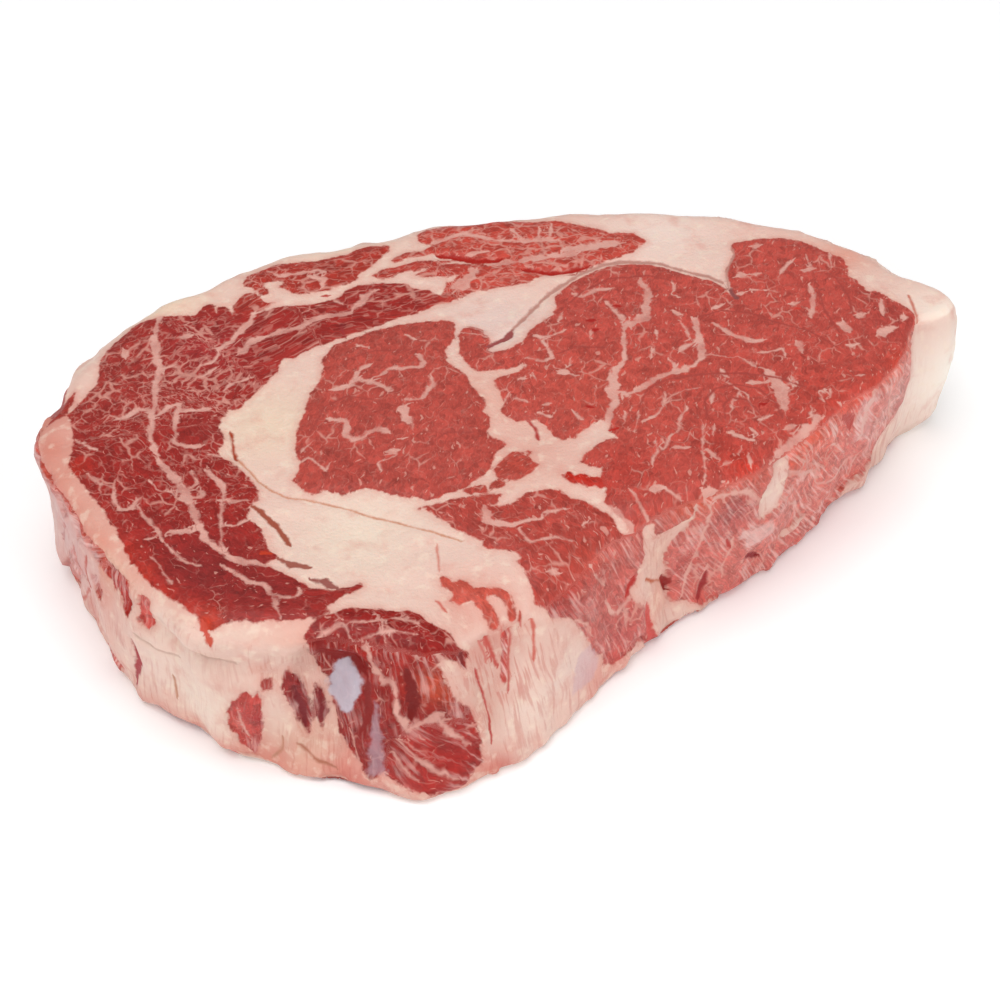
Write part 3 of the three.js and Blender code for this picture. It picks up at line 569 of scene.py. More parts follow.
WALL_LINES = [
    ("#bd6a5e", 0.1, [0.4, 1.6, 0.8, 2.0, 0.5],
     [(84, 30.5), (96, 32), (108, 31), (122, 32.4), (134, 31)]),
    ("#c47a6c", 0.1, [0.3, 1.1, 0.5], [(40, 33), (54, 31.6), (68, 32.6)]),
    ("#c47a6c", 0.1, [0.3, 0.9, 1.4, 0.4], [(70, 14), (84, 12.4), (98, 13.6), (108, 12)]),
    ("#bd6a5e", 0.1, [0.4, 1.5, 0.7, 1.2, 0.3],
     [(140, 14), (152, 16), (166, 14.6), (178, 16.4), (188, 15)]),
    ("#c47a6c", 0.1, [0.3, 1.2, 0.4], [(158, 31), (170, 32.6), (182, 31)]),
    ("#b45c50", 0.1, [0.5, 2.2, 1.0], [(202, 31), (209, 28), (213, 22)]),
    ("#d49a8a", 0.5, [0.5, 0.8, 0.4], [(26, 26), (44, 23.4), (62, 22.6), (78, 24)]),
    ("#d08e80", 0.6, [0.4, 0.9, 0.5], [(100, 8), (118, 10.6), (136, 22), (148, 24)]),
    ("#d49a8a", 0.4, [0.4, 0.7, 0.4], [(160, 22), (178, 14.6), (196, 10), (212, 9)]),
    ("#c0544a", 0.2, [0.8, 1.2, 0.8], [(372, 36), (371.6, 30), (372.4, 23)]),
    ("#b84840", 0.2, [0.7], [(367.4, 24), (367.6, 16), (366.4, 9)]),
    ("#cc6a5c", 0.1, [0.6], [(382.5, 33), (382, 27), (380.6, 21)]),
    ("#c45a4c", 0.3, [0.9], [(279, 30), (277.6, 24), (276, 19)]),
    ("#cc7064", 0.2, [0.8], [(270, 12), (266, 6), (262, 1.5)]),
    ("#c4554a", 0.5, [1.2, 2.4, 2.0], [(242.5, 33), (240, 22), (237.6, 12), (235, 4)]),
    ("#981a10", 1.0, [0.8, 1.7, 1.2], [(273, 25.6), (271.2, 21.6), (269, 18.2)]),
    ("#c88680", 0.5, [1.8], [(264.5, 26.5), (261, 21), (256.8, 15.5)]),
    ("#9c3a2c", 1.0, [1.3], [(274.8, 22.5), (272.5, 19.5), (270.6, 16)]),
    ("#a83c40", 0.9, [0.8, 1.8, 1.2], [(293.8, 18.5), (294.5, 12), (292.8, 5)]),
    ("#c08468", 0.1, [0.5], [(304.6, 14.5), (305.2, 9)]),
    ("#b8745c", 0.6, [0.3, 0.6, 0.3], [(332.6, 9), (335.6, 5.6), (340.4, 3.4)]),
    ("#c48870", 0.5, [0.3, 0.5, 0.3], [(326.6, 2.6), (328.6, 5.4), (329.2, 9.6)]),
    ("#cfa898", 0.5, [0.4], [(309, 29), (315, 26.4), (321.4, 27)]),
    ("#cfa898", 0.4, [0.4], [(296, 22), (301, 20.4), (307, 22.4)]),
    ("#c4503c", 0.2, [1.8, 1.0], [(315.6, 37), (316.4, 33)]),
    # The dark cores of the two pockets: painted shade deep in the hollows
    ("#7c2024", 1.2, [0.8, 1.5, 0.8], [(332.4, 23), (333.4, 18), (333.8, 13)]),
    ("#84282c", 0.8, [0.6, 1.1, 0.6], [(336.8, 20.5), (337.2, 16), (336.9, 14)]),
    ("#86140f", 0.9, [1.6, 2.8, 2.8, 1.4],
     [(336.8, 34), (338.4, 30.5), (342.8, 29.6), (346.4, 25.6)]),
    ("#7c1814", 0.8, [1.5, 2.6, 1.4], [(354.6, 27), (355.4, 21), (354.8, 17.5)]),
    ("#8a2420", 0.6, [1.4, 1.8, 1.2], [(346.6, 24), (347.2, 18), (346.4, 13)]),
    ("#7e1e1a", 0.6, [1.0, 1.6, 1.0], [(364.8, 33), (365, 30), (364.8, 27.5)]),
    ("#c25a50", 0.1, [0.5], [(377, 34), (376.8, 28.5), (375.4, 23), (374, 17)]),
    ("#c8685e", 0.1, [0.5], [(379.5, 33.5), (379.6, 29)]),
    ("#cc7468", 0.1, [0.5], [(370.4, 34), (370, 30), (370.3, 25)]),
    ("#d0524a", 0.4, [1.0, 1.6, 2.2], [(412.2, 14.5), (413.8, 5.5), (416, 0)]),
    ("#c0603c", 0.4, [0.5], [(412.6, 20.4), (416.6, 17), (419.6, 14)]),
    ("#961c16", 0.9, [0.8, 1.7, 1.0], [(419.8, 15), (420.8, 12.8), (421.4, 10.5)]),
    ("#b8302a", 0.5, [1.0], [(409, 22.8), (407.6, 19.6)]),
    ("#9c2c2c", 0.5, [0.6, 1.6, 1.0], [(430.6, 11), (429.8, 7.6), (428.6, 4.6)]),
    ("#8e1418", 1.0, [1.2, 2.2, 0.8], [(440.3, 11.4), (443, 9.4), (445.6, 7.6)]),
    ("#b43e34", 0.2, [2.0, 3.0, 1.4], [(469.6, 33), (472.4, 30), (473.2, 26.8)]),
    ("#b8403a", 0.1, [1.0], [(435, 18.6), (435.2, 17.6)]),
]
# Milky, blue-grey connective film over the lean: (outline, tone, strength)
SILVERSKIN = [
    ([(341.3, 31.4), (342.9, 27.6), (345.6, 24.2), (345, 20), (343.2, 16), (341.2, 16.6),
      (338.8, 19.6), (338.4, 22.6), (340, 26.8)], "#c8bfca", 0.85),
    ([(389, 6), (391, 14), (395.5, 15), (397.5, 9), (396, 5)], "#cfaab0", 0.55),
    ([(348.2, 4), (350.2, 5), (349.9, 12), (349.4, 20), (348.3, 20), (348.2, 12)], "#b89aa4", 0.6),
    ([(246, 34), (284, 33.5), (284, 27), (270, 10), (262, 3), (246, 4)], "#dfbcb8", 0.4),
    ([(475, 34), (479.5, 34), (479.5, 21), (474.5, 22)], "#e4c4c0", 0.25),
    ([(437, 20), (446, 19.6), (448, 15), (441, 14)], "#e6cbc4", 0.45),
]

# Where a muscle is richer or poorer in marbling than the rest of it: (place, spread, change)
RICHNESS = [
    ((-66, 25), 11, 0.3),
    ((-64, 40), 9, 0.15),
    ((-60, 20), 7, 0.25),
    ((-86, 22), 9, 0.1),
    ((-72, 8), 5, -0.4),
    ((-68, 2), 5, 0.1),
    ((-80, -28), 14, -0.62),
    ((-62, -42), 13, -0.62),
    ((-68, -20), 6, -0.3),
    ((-90, 0), 10, -0.2),
    ((-30, 46), 8, -0.15),
    ((24, 50), 10, 0.25),
    ((-12, 48), 10, 0.2),
    ((62, 10), 9, 0.1),
]

# Where the wall is drawn out in strands, more or less than elsewhere: (place, spread, change)
STRANDS = [
    ((512, 18), 12, -0.6),
    ((509, 34), 8, -0.6),
    ((4, 18), 20, -0.7),
    ((4, 34), 14, -0.6),
    ((375, 20), 11, 0.3),
    ((348, 20), 10, -0.45),
    ((325, 14), 6, -0.2),
    ((400, 22), 10, -0.1),
    ((470, 15), 22, 0.35),
    ((312, 18), 12, -0.42),
    ((268, 18), 20, 0.4),
    ((392, 18), 8, -0.2),
    ((415, 14), 6, -0.3),
]

# Soft patches of tone: (place, how far it spreads, tone, strength), on lean and on fat
TOP_LEAN_SHADES = [
    ((-76, -34), 10, "#852c2b", 0.9),
    ((-64, -43), 9, "#8c2f2d", 0.9),
    ((-66, 8), 6, "#8c302d", 0.7),
    ((-88.8, -24), 3, "#b83a30", 0.8),
    ((-86.4, -31), 3, "#bb3c30", 0.8),
    ((-83, -37.4), 3, "#b63a31", 0.8),
    ((-79.4, -43), 3, "#b63a31", 0.8),
    ((-76.6, -47.4), 3.4, "#bf4230", 0.9),
    ((-66, -50), 4, "#ae3a33", 0.6),
    ((-95, 3), 3, "#b8382c", 0.6),
    ((-80, 30), 18, "#a0403a", 0.5),
    ((-62, 36), 9, "#a4383a", 0.5),
    # Painted shade: the lower part of the left eye muscle is drawn darker
    ((-40, -12), 9, "#a4443c", 0.5),
    ((15, 0), 16, "#bb5447", 0.4),
    ((34, -22), 6, "#ab3d34", 0.6),
    ((20, -41), 4, "#cc5240", 0.6),
    ((47, -31), 3.5, "#d0503c", 0.7),
    ((57, -25), 3.5, "#d0503c", 0.7),
    ((75, -11.5), 3.5, "#cc4838", 0.7),
    ((82, -4), 3.5, "#cc4838", 0.7),
    ((2, -46), 4, "#c4503f", 0.6),
    ((14, -25), 7, "#b13c33", 0.5),
    ((60, -12), 14, "#b9493f", 0.6),
    ((66, -18), 4, "#c43c30", 0.8),
    ((38, -29), 4, "#cc4438", 0.8),
    ((84, 8), 8, "#a84640", 0.6),
    ((-20, -24), 8, "#ae4840", 0.5),
]
TOP_FAT_SHADES = [
    ((-55, 8), 12, "#e8cdb6", 0.9),
    ((-42, -30), 13, "#ebd6c3", 0.9),
    ((-30, -40), 10, "#e6c4b6", 0.8),
    ((-24, -50), 6, "#dfa898", 0.8),
    ((-28, -53), 4, "#d49080", 0.6),
    ((0, 30), 10, "#e6c8be", 0.9),
    ((-6, 4), 10, "#e2b0a0", 0.9),
    ((-3, -14), 12, "#dfab9c", 0.9),
    ((20, 58), 10, "#e0a898", 0.3),
    ((45, 53), 12, "#edd3c7", 0.9),
    ((70, 46), 10, "#e8bcae", 0.7),
    ((82, 34), 7, "#e0a08e", 0.9),
    ((98, 8), 9, "#f5e4d6", 1.0),
    ((-70, 56), 10, "#eccfb6", 0.9),
    ((-30, 66), 14, "#eccfbc", 0.8),
    ((-98, 22), 7, "#d07868", 0.8),
    ((-100, 11), 7, "#d27a68", 0.8),
    ((-100, 1), 7, "#d27a66", 0.7),
    ((-98, -9), 7, "#d67e6a", 0.7),
    ((-95, -20), 7, "#d9846f", 0.8),
    ((-92, -31), 6, "#dc9480", 0.8),
    ((-87, -42), 5, "#dcae9e", 0.7),
    ((-20, -52), 8, "#e2b0a2", 0.8),
    ((-60, -56), 10, "#dfa594", 0.7),
    ((-72, -52), 6, "#e2c2b2", 0.7),
    ((30, -34), 5, "#e8b090", 0.8),
    ((45, -28), 5, "#e8c0a6", 0.8),
]
WALL_LEAN_SHADES = [
    ((342, 31), 6, "#861712", 0.9),
    ((353, 29), 5, "#a8302a", 0.8),
    ((346, 34), 4, "#a8241c", 0.8),
    ((357, 34), 4, "#b03028", 0.7),
    ((359, 24), 3.5, "#c4553e", 0.7),
    ((347, 11), 6, "#983a38", 0.6),
    ((358, 8), 5, "#ac3834", 0.6),
    ((325, 14), 2.5, "#9c3234", 0.9),
    ((320.6, 12), 2.5, "#d0645a", 0.8),
    ((389, 31), 6, "#a04644", 0.8),
    ((399, 29), 6, "#b4544c", 0.6),
    ((405, 11), 8, "#b85a56", 0.7),
    ((392, 34), 6, "#b83c30", 0.6),
    ((461, 31), 11, "#d8604c", 0.9),
    ((440, 35), 8, "#d0604e", 0.6),
    ((430, 35), 6, "#cf6a58", 0.7),
    ((460, 5), 20, "#cf6a60", 0.7),
    ((435.5, 27), 6, "#a85350", 0.95),
    ((425, 15), 5, "#b4504a", 0.7),
    ((491, 24), 12, "#d08a82", 0.9),
    ((452, 16), 12, "#cc7a70", 0.6),
    ((402, 36), 6, "#c8503e", 0.7),
    ((392, 36), 5, "#b84438", 0.7),
    ((426, 36), 6, "#d0604c", 0.7),
    ((452, 36), 6, "#d8604c", 0.7),
    ((472, 36), 6, "#d05040", 0.7),
    ((486, 36), 6, "#d8604c", 0.7),
    ((498, 36), 5, "#d8604c", 0.7),
    ((497, 19), 4, "#bc6a66", 0.7),
    ((428, 1), 5, "#c23c34", 0.7),
    ((440, 0), 5, "#c23a30", 0.7),
    ((454, 0), 5, "#b8343a", 0.5),
    ((466, 1), 5, "#c23c30", 0.7),
    ((479, 4), 4, "#c4402f", 0.8),
    ((491, 10), 4, "#c23c34", 0.7),
    ((415, 1), 4, "#c64038", 0.8),
    ((404, 5), 5, "#c2453c", 0.5),
]
WALL_FAT_SHADES = [
    ((233, 18), 8, "#d98e7c", 0.9),
    ((240, 36), 8, "#cf7460", 0.9),
    ((262, 36), 12, "#cf705c", 0.9),
    ((278, 36), 8, "#d0705c", 0.8),
    ((286, 30), 4, "#b83a2e", 0.8),
    ((283, 26), 3, "#c8685c", 0.8),
    ((276, 24), 3, "#b84030", 0.7),
    ((246, 2.5), 5, "#b8321e", 0.9),
    ((256, 7), 5, "#c8553f", 0.8),
    ((262, 15), 4, "#cc6450", 0.7),
    ((271, 5), 4, "#cf6a5c", 0.7),
    ((282, 10), 4, "#d08a80", 0.7),
    ((236, 3), 10, "#d8988e", 0.8),
    ((262, 28), 10, "#d2a09c", 0.8),
    ((276, 30), 5, "#cc8880", 0.7),
    ((250, 16), 8, "#dbb0a8", 0.6),
    ((244, 24), 7, "#cf8c82", 0.7),
    ((256, 24), 6, "#c8746a", 0.7),
    ((270, 8), 9, "#d8988c", 0.7),
    ((286, 24), 9, "#d99c92", 0.7),
    ((290, 34.5), 8, "#e8c4aa", 0.7),
    ((312, 12), 15, "#eedaca", 0.9),
    ((308, 26), 12, "#e9cabb", 0.8),
    ((322, 29), 8, "#e2bcae", 0.7),
    ((334, 7), 7, "#e2ceb6", 0.9),
    ((298, 14), 6, "#e6c8bc", 0.7),
    ((338, 1), 12, "#dc9080", 0.7),
    ((345, 0), 6, "#c8584a", 0.8),
    ((326, 0), 7, "#d27866", 0.8),
    ((318, 0), 6, "#d8806e", 0.7),
    ((309, 0), 6, "#d27866", 0.7),
    ((300, 0), 6, "#cf7464", 0.7),
    ((368, 1), 5, "#c04a3c", 0.8),
    ((362, 1), 6, "#d0705f", 0.6),
    ((368, 16), 6, "#cc9888", 0.8),
    ((372, 30), 8, "#c98c7e", 0.8),
    ((379, 12), 8, "#ecd2c4", 0.8),
    ((385, 20), 6, "#e2b8aa", 0.7),
    ((390, 12), 6, "#e6ccc0", 0.7),
    ((400, 3), 8, "#d87c6c", 0.6),
    ((407, 2), 6, "#e8bcae", 0.7),
    ((416, 24), 5, "#e2b6a4", 0.9),
    ((416, 12), 5, "#e4ac98", 0.9),
    ((448, 27), 5, "#e8cabe", 0.8),
    ((514, 18), 15, "#f9ecdf", 1.0),
    ((0, 18), 20, "#f7e8d9", 1.0),
    ((60, 18), 40, "#efd8c8", 0.9),
    ((130, 18), 40, "#e8c4b2", 0.8),
    ((190, 18), 30, "#e4bcac", 0.8),
]

# (outline, tone, veins 0 to 1, flecks 0 to 1, grain angle in degrees or None: along the rim)
TOP_LEAN = [
    (CAP, "#982e2a", 0.58, 0.15, None),
    (CAP_EDGE, "#a4382f", 0.2, 0.2, None),
    (BACK_STRIP, "#a83a31", 0.6, 0.6, None),
    (BACK_PATCH, "#a4372f", 0.5, 0.5, None),
    *[(thread, "#b04138", 0.5, 0.7, None) for thread in BACK_THREADS],
    (BACK_LOBE, "#bb4b40", 0.75, 0.9, None),
    (EYE_LEFT, "#b44f46", 0.14, 0.3, 66),
    (EYE_MAIN, "#ba5148", 0.14, 0.5, 66),
    *[(island, "#b64d42", 0.2, 0.4, 30) for island in POOL_ISLANDS],
    (LOWER_BLOCK, "#b0483f", 0.2, 0.6, 110),
    (TAIL_TOP, "#902421", 0.38, 0.3, 150),
    (BRUISE, "#c65a4c", 0.0, 0.0, 120),
    (BLOOD_SPOT, "#bb2c22", 0.0, 0.1, 120),
    (RED_RIM, "#cc5040", 0.1, 0.4, 35),
]
TOP_SEAMS = CAP_SEAMS + BACK_SEAMS + EYE_SEAMS + SIDE_MUSCLE_SEAMS + BLOCK_SEAMS + TAIL_SEAMS
WALL_GRAIN = -52  # degrees: strands on the wall lean down towards the lip
TOP_FAT = "#e6c2b4"
WALL_FAT = "#e2bcae"


def tone(colour):
    """An sRGB hex colour as linear red, green and blue."""
    parts = np.array([int(colour[i : i + 2], 16) for i in (1, 3, 5)]) / 255
    return np.where(parts <= 0.04045, parts / 12.92, ((parts + 0.055) / 1.055) ** 2.4)


def ease(low, high, x):
    """A smooth step from 0 at low to 1 at high."""
    share = np.clip((x - low) / (high - low), 0, 1)
    return share * share * (3 - 2 * share)


# ---------------------------------------------------------------------------------------
# Steady random lumps
# ---------------------------------------------------------------------------------------

WORD = 0xFFFFFFFF
# Large odd numbers that stir the place of a corner and the seed into one number
STIR_X = 73856093
STIR_Y = 19349663
STIR_Z = 83492791
STIR_SEED = 40503
STIR_ONCE = 2246822519
STIR_AGAIN = 3266489917


def corner_value(x, y, z, seed):
    """A steady random number from -1 to 1 for each whole-number corner of space."""
    n = (x * STIR_X) ^ (y * STIR_Y) ^ (z * STIR_Z) ^ (seed * STIR_SEED)
    n = ((n ^ (n >> 15)) * STIR_ONCE) & WORD
    n = ((n ^ (n >> 13)) * STIR_AGAIN) & WORD
    return (n ^ (n >> 16)) / (WORD / 2) - 1


def lumps(at, size, seed):
    """Smooth random heights from -1 to 1, with lumps about size mm across (one per axis)."""
    cells = np.zeros((len(at), 3))
    cells[:, : at.shape[1]] = at / np.array(size)
    low = np.floor(cells).astype(np.int64)
    part = cells - low
    part = part * part * (3 - 2 * part)
    total = np.zeros(len(at))
    for step in np.ndindex(2, 2, 2):
        weight = np.prod(np.where(step, part, 1 - part), axis=1)
        total += weight * corner_value(*(low + step).T, seed)
    return total


# ---------------------------------------------------------------------------------------
# Distances to listed lines and outlines
# ---------------------------------------------------------------------------------------


def near_line(at, line):
    """Each point's distance from a line, signed by side and plain, and its place along it."""
    line = np.array(line, float)
    far = np.full(len(at), np.inf)
    side = np.zeros(len(at))
    place = np.zeros(len(at))
    stretches = len(line) - 1
    for i in range(stretches):
        way = line[i + 1] - line[i]
        apart = at - line[i]
        share = np.clip(apart @ way / (way @ way), 0, 1)
        gap = np.linalg.norm(apart - share[:, None] * way, axis=1)
        closer = gap < far
        turn = np.where(way[0] * apart[:, 1] - way[1] * apart[:, 0] < 0, -1.0, 1.0)
        far[closer] = gap[closer]
        side[closer] = (turn * gap)[closer]
        place[closer] = ((i + share) / stretches)[closer]
    return side, far, place


def close_by(at, points):
    """Which points lie within REACH of the box round a line or an outline."""
    points = np.array(points, float)
    low, high = points.min(0) - REACH, points.max(0) + REACH
    return np.flatnonzero(((at > low) & (at < high)).all(1))


def within(at, ring):
    """Which points lie inside a closed outline."""
    odd = np.zeros(len(at), bool)
    x, y = at.T
    for (x0, y0), (x1, y1) in zip(ring, ring[1:] + ring[:1]):
        if y0 != y1:
            odd ^= ((y0 > y) != (y1 > y)) & (x < x0 + (x1 - x0) * (y - y0) / (y1 - y0))
    return odd


def depth_inside(at, ring):
    """How many mm each point lies inside an outline, or outside it as less than 0."""
    depth = np.full(len(at), -REACH)
    near = close_by(at, ring)
    if len(near):
        edge = np.minimum(near_line(at[near], ring + ring[:1])[1], REACH)
        depth[near] = np.where(within(at[near], ring), edge, -edge)
    return depth


def nearest_seam(at, seams):
    """The side, distance and half-width of the seam nearest to each point, and which it is."""
    found = np.tile([REACH, REACH, NO_SEAM], (len(at), 1))
    which = np.zeros(len(at), int)
    lead = np.full(len(at), REACH)
    for i, (widths, points) in enumerate(seams):
        near = close_by(at, points)
        if not len(near):
            continue
        side, far, place = near_line(at[near], points)
        half = np.interp(place, np.linspace(0, 1, len(widths)), widths) / 2
        closer = far - half < lead[near]
        chosen = near[closer]
        lead[chosen] = (far - half)[closer]
        found[chosen] = np.stack([side, far, half], 1)[closer]
        which[chosen] = i
    return found, which


def shaded(colour, at, shades):
    """Colours with soft patches of tone laid over them."""
    for place, spread, shade, strength in shades:
        gap = np.linalg.norm(at - np.array(place, float), axis=1)
        amount = strength * np.exp(-((gap / spread) ** 2))[:, None]
        colour = colour + (tone(shade) - colour) * amount
    return colour


def changed(amount, at, patches):
    """Amounts raised or lowered round a few places."""
    for place, spread, change in patches:
        gap = np.linalg.norm(at - np.array(place, float), axis=1)
        amount = amount + change * np.exp(-((gap / spread) ** 2))
    return amount


def turned(at, degrees):
    """Points along and across a grain that lies at an angle."""
    angle = math.radians(degrees)
    along = at[:, 0] * math.cos(angle) + at[:, 1] * math.sin(angle)
    across = at[:, 1] * math.cos(angle) - at[:, 0] * math.sin(angle)
    return np.stack([along, across], 1)


# ---------------------------------------------------------------------------------------
# What lies where: the fields that the material reads at each point of the mesh
# ---------------------------------------------------------------------------------------

TONE_BLEND = 1.5  # mm over which the tones of two muscles run into each other
GRAIN_APART = 40.0  # mm between the patterns of two muscles, so that no two are alike
GRAIN_EDGE = 1.5  # mm outside the lean where the muscle's own grain ends
DRIFT = 3.5  # mm that the muscles drift between the two cut faces
DRIFT_SIZE = 26  # mm
WALL_DRIFT = 0.35  # mm that the wall's marks wander
WALL_DRIFT_SIZE = 7  # mm
FACING_UP = (0.45, 0.75)  # how far a point faces up where the top's layout starts and is full
FACING_DOWN = -0.5  # what faces down more than this is the underside
TOP_FLOOR = 20  # mm: the top's layout shows only above this height
STRANDED = 0.55  # how far the wall is drawn out in strands where nothing changes it


def layout(at, lean, holes, seams, lines, shades, fat_tone, rim_grain):
    """All fields of one face of the cut: lean depth, marbling, grain, tones, seams and lines."""
    lean_shades, fat_shades = shades
    depths = np.stack([depth_inside(at, ring) for ring, *_ in lean])
    nearest = depths.argmax(0)
    depth = depths.max(0)
    for ring in holes:
        depth = np.minimum(depth, -depth_inside(at, ring))
    pull = np.exp((depths - depths.max(0)) / TONE_BLEND)
    pull /= pull.sum(0)
    lean_colour = pull.T @ np.array([tone(row[1]) for row in lean])
    grain = rim_grain.copy()
    for i, (_, _, _, _, angle) in enumerate(lean):
        if angle is not None:
            mine = nearest == i
            grain[mine] = turned(at[mine], angle) + GRAIN_APART * i
    outside = depth < -GRAIN_EDGE
    grain[outside] = rim_grain[outside]
    seam, _ = nearest_seam(at, seams)
    line, which = nearest_seam(at, [(widths, points) for _, _, widths, points in lines])
    return {
        "depth": depth,
        "veins": pull.T @ np.array([row[2] for row in lean]),
        "flecks": pull.T @ np.array([row[3] for row in lean]),
        "grain": grain,
        "lean_tone": shaded(lean_colour, at, lean_shades),
        "fat_tone": shaded(np.tile(tone(fat_tone), (len(at), 1)), at, fat_shades),
        "seam": seam,
        "line": line,
        "line_tone": np.array([tone(row[0]) for row in lines])[which],
        "line_sink": np.array([row[1] for row in lines])[which],
    }


CURVE_STEPS = 40  # steps of the curve between two points of the outline
CHART_STEP = 4  # the chart is measured over every fourth of them


def outline_curve():
    """The upper outline: close points in mm, how far round each lies, and mm of chart to the mm."""
    half = np.array([OUTLINE_LENGTH / 2, OUTLINE_DEPTH / 2])
    knots = np.array(OUTLINE) * half + OUTLINE_SHIFT
    before, after, beyond = (np.roll(knots, shift, 0) for shift in (1, -1, -2))
    first, middle, last = [
        np.sqrt(np.linalg.norm(b - a, axis=1))[:, None]
        for a, b in ((before, knots), (knots, after), (after, beyond))
    ]
    leaving = (knots - before) / first - (after - before) / (first + middle)
    leaving = (leaving + (after - knots) / middle) * middle
    arriving = (after - knots) / middle - (beyond - knots) / (middle + last)
    arriving = (arriving + (beyond - after) / last) * middle
    shares = np.linspace(0, 1, CURVE_STEPS, endpoint=False)[:, None, None]
    bend = -3 * knots + 3 * after - 2 * leaving - arriving
    twist = 2 * knots - 2 * after + leaving + arriving
    points = knots + leaving * shares + bend * shares**2 + twist * shares**3
    points = points.transpose(1, 0, 2).reshape(-1, 2)
    steps = np.linalg.norm(np.roll(points, -1, 0) - points, axis=1)
    stations = np.concatenate([[0], np.cumsum(steps)[:-1]])
    to_chart = CHART_ROUND / steps.sum()
    return points[::CHART_STEP], stations[::CHART_STEP] * to_chart, to_chart


def stations_of(at):
    """How far round the outline each point lies, and how far inside it, in mm."""
    points, stations, to_chart = outline_curve()
    best = np.full(len(at), np.inf)
    station = np.zeros(len(at))
    inset = np.zeros(len(at))
    for start, end, travelled in zip(points, np.roll(points, -1, 0), stations):
        way = end - start
        span = np.linalg.norm(way)
        apart = at - start
        share = np.clip(apart @ way / span**2, 0, 1)
        gap = np.linalg.norm(apart - share[:, None] * way, axis=1)
        closer = gap < best
        best[closer] = gap[closer]
        station[closer] = (travelled + share * span * to_chart)[closer]
        turn = way[0] * apart[:, 1] - way[1] * apart[:, 0]
        inset[closer] = (np.sign(turn) * gap)[closer]
    return station % CHART_ROUND, inset


# Fields with a crisp change between the wall and the top; the others change softly
CRISP = ("grain", "seam", "line", "line_tone", "line_sink")


def blended(wall, top, on_top):
    """The wall's fields where the wall shows, the top's on top, and a change between them."""
    mixed = {}
    for name, low in wall.items():
        share = on_top if low.ndim == 1 else on_top[:, None]
        soft = low + (top[name] - low) * share
        mixed[name] = np.where(share > 0.5, top[name], low) if name in CRISP else soft
    return mixed


def wandering(at, size, reach, seed):
    """Points moved about smoothly, by reach mm at most."""
    return at + reach * np.stack([lumps(at, size, seed), lumps(at, size, seed + 1)], 1)


def steak_fields(at, up):
    """The fields of every point of the fine mesh, from its place in mm and how far it faces up."""
    station, inset = stations_of(at[:, :2])
    under = up < FACING_DOWN
    on_top = np.where(under, 1.0, ease(*FACING_UP, up) * (at[:, 2] > TOP_FLOOR))
    # The lower face is the same cut 36 mm further down the muscle, so its layout has drifted
    plan = at[:, :2] - PLAN_SHIFT
    plan = np.where(under[:, None], wandering(plan, DRIFT_SIZE, DRIFT, 5), plan)
    wall_at = wandering(np.stack([station, at[:, 2]], 1), WALL_DRIFT_SIZE, WALL_DRIFT, 11)
    top = layout(plan, TOP_LEAN, [], TOP_SEAMS, TOP_LINES, (TOP_LEAN_SHADES, TOP_FAT_SHADES),
                 TOP_FAT, np.stack([station, inset], 1))
    top["veins"] = changed(top["veins"], plan, RICHNESS)
    wall = layout(wall_at, WALL_LEAN, RIB_FAT, WALL_SEAMS, WALL_LINES,
                  (WALL_LEAN_SHADES, WALL_FAT_SHADES), WALL_FAT, turned(wall_at, 90))
    fields = blended(wall, top, on_top)
    film = np.full(len(at), -REACH)
    film_tone = np.tile(tone(SILVERSKIN[0][1]), (len(at), 1))
    film_share = np.zeros(len(at))
    for ring, colour, strength in SILVERSKIN:
        depth = depth_inside(wall_at, ring)
        film_tone[depth > film] = tone(colour)
        film_share[depth > film] = strength
        film = np.maximum(film, depth)
    strands = np.clip(changed(np.full(len(at), STRANDED), wall_at, STRANDS), 0, 1)
    fields["film"] = np.where(on_top > 0.5, -REACH, film)
    fields["film_tone"] = film_tone
    fields["film_share"] = film_share
    fields["wall"] = 1 - on_top
    fields["strands"] = strands * fields["wall"]
    fields["wall_at"] = wall_at
    fields["station"] = station
    return fields


# ---------------------------------------------------------------------------------------
# Relief
# ---------------------------------------------------------------------------------------

CROWN = 0.4  # mm that the lean stands over the fat
CROWN_RISE = (-0.6, 2.4)  # mm inside the lean where the crown starts and where it is full
SEAM_DIP = 0.2  # mm
GROOVE_LIP = 0.4  # mm by which a groove's side reaches past its mark

# Lumps: (height in mm, size in mm, seed)
LUMPS_ALL_OVER = [(0.4, 17, 21), (0.18, 6, 22), (0.09, 2.2, 23)]
LEAN_STRANDS = [(0.55, (13, 2.6), 24), (0.28, (6, 1.6), 25)]
LEAN_SWELLS = [(0.6, (9, 13), 28)]
FAT_FOLDS = [(0.6, (6, 24), 26), (0.3, (2.6, 8), 27), (0.8, (11, 14), 29), (0.35, (3.6, 4.4), 30)]
FOOT_CRAGS = [(0.9, (5, 7), 31)]
RIM_CRAGS = [(0.55, 4.5, 32)]

FOOT_HEIGHT = 7  # mm
RIM_HEIGHT = 34  # mm
RIM_WIDTH = 3  # mm
RIM_ON_TOP = 0.3  # how much of the rim's crags is left on the cut face
CALM = 0.25  # how much relief is left where the wall isn't drawn out in strands
FULLY_DRAWN = 0.5  # the share of strands from which the relief is whole
SETTLES = (0.1, 1.6)  # mm of height over which the relief starts above the flat underside


def heights(at, rows):
    """The heights of several layers of lumps together."""
    return sum(height * lumps(at, size, seed) for height, size, seed in rows)


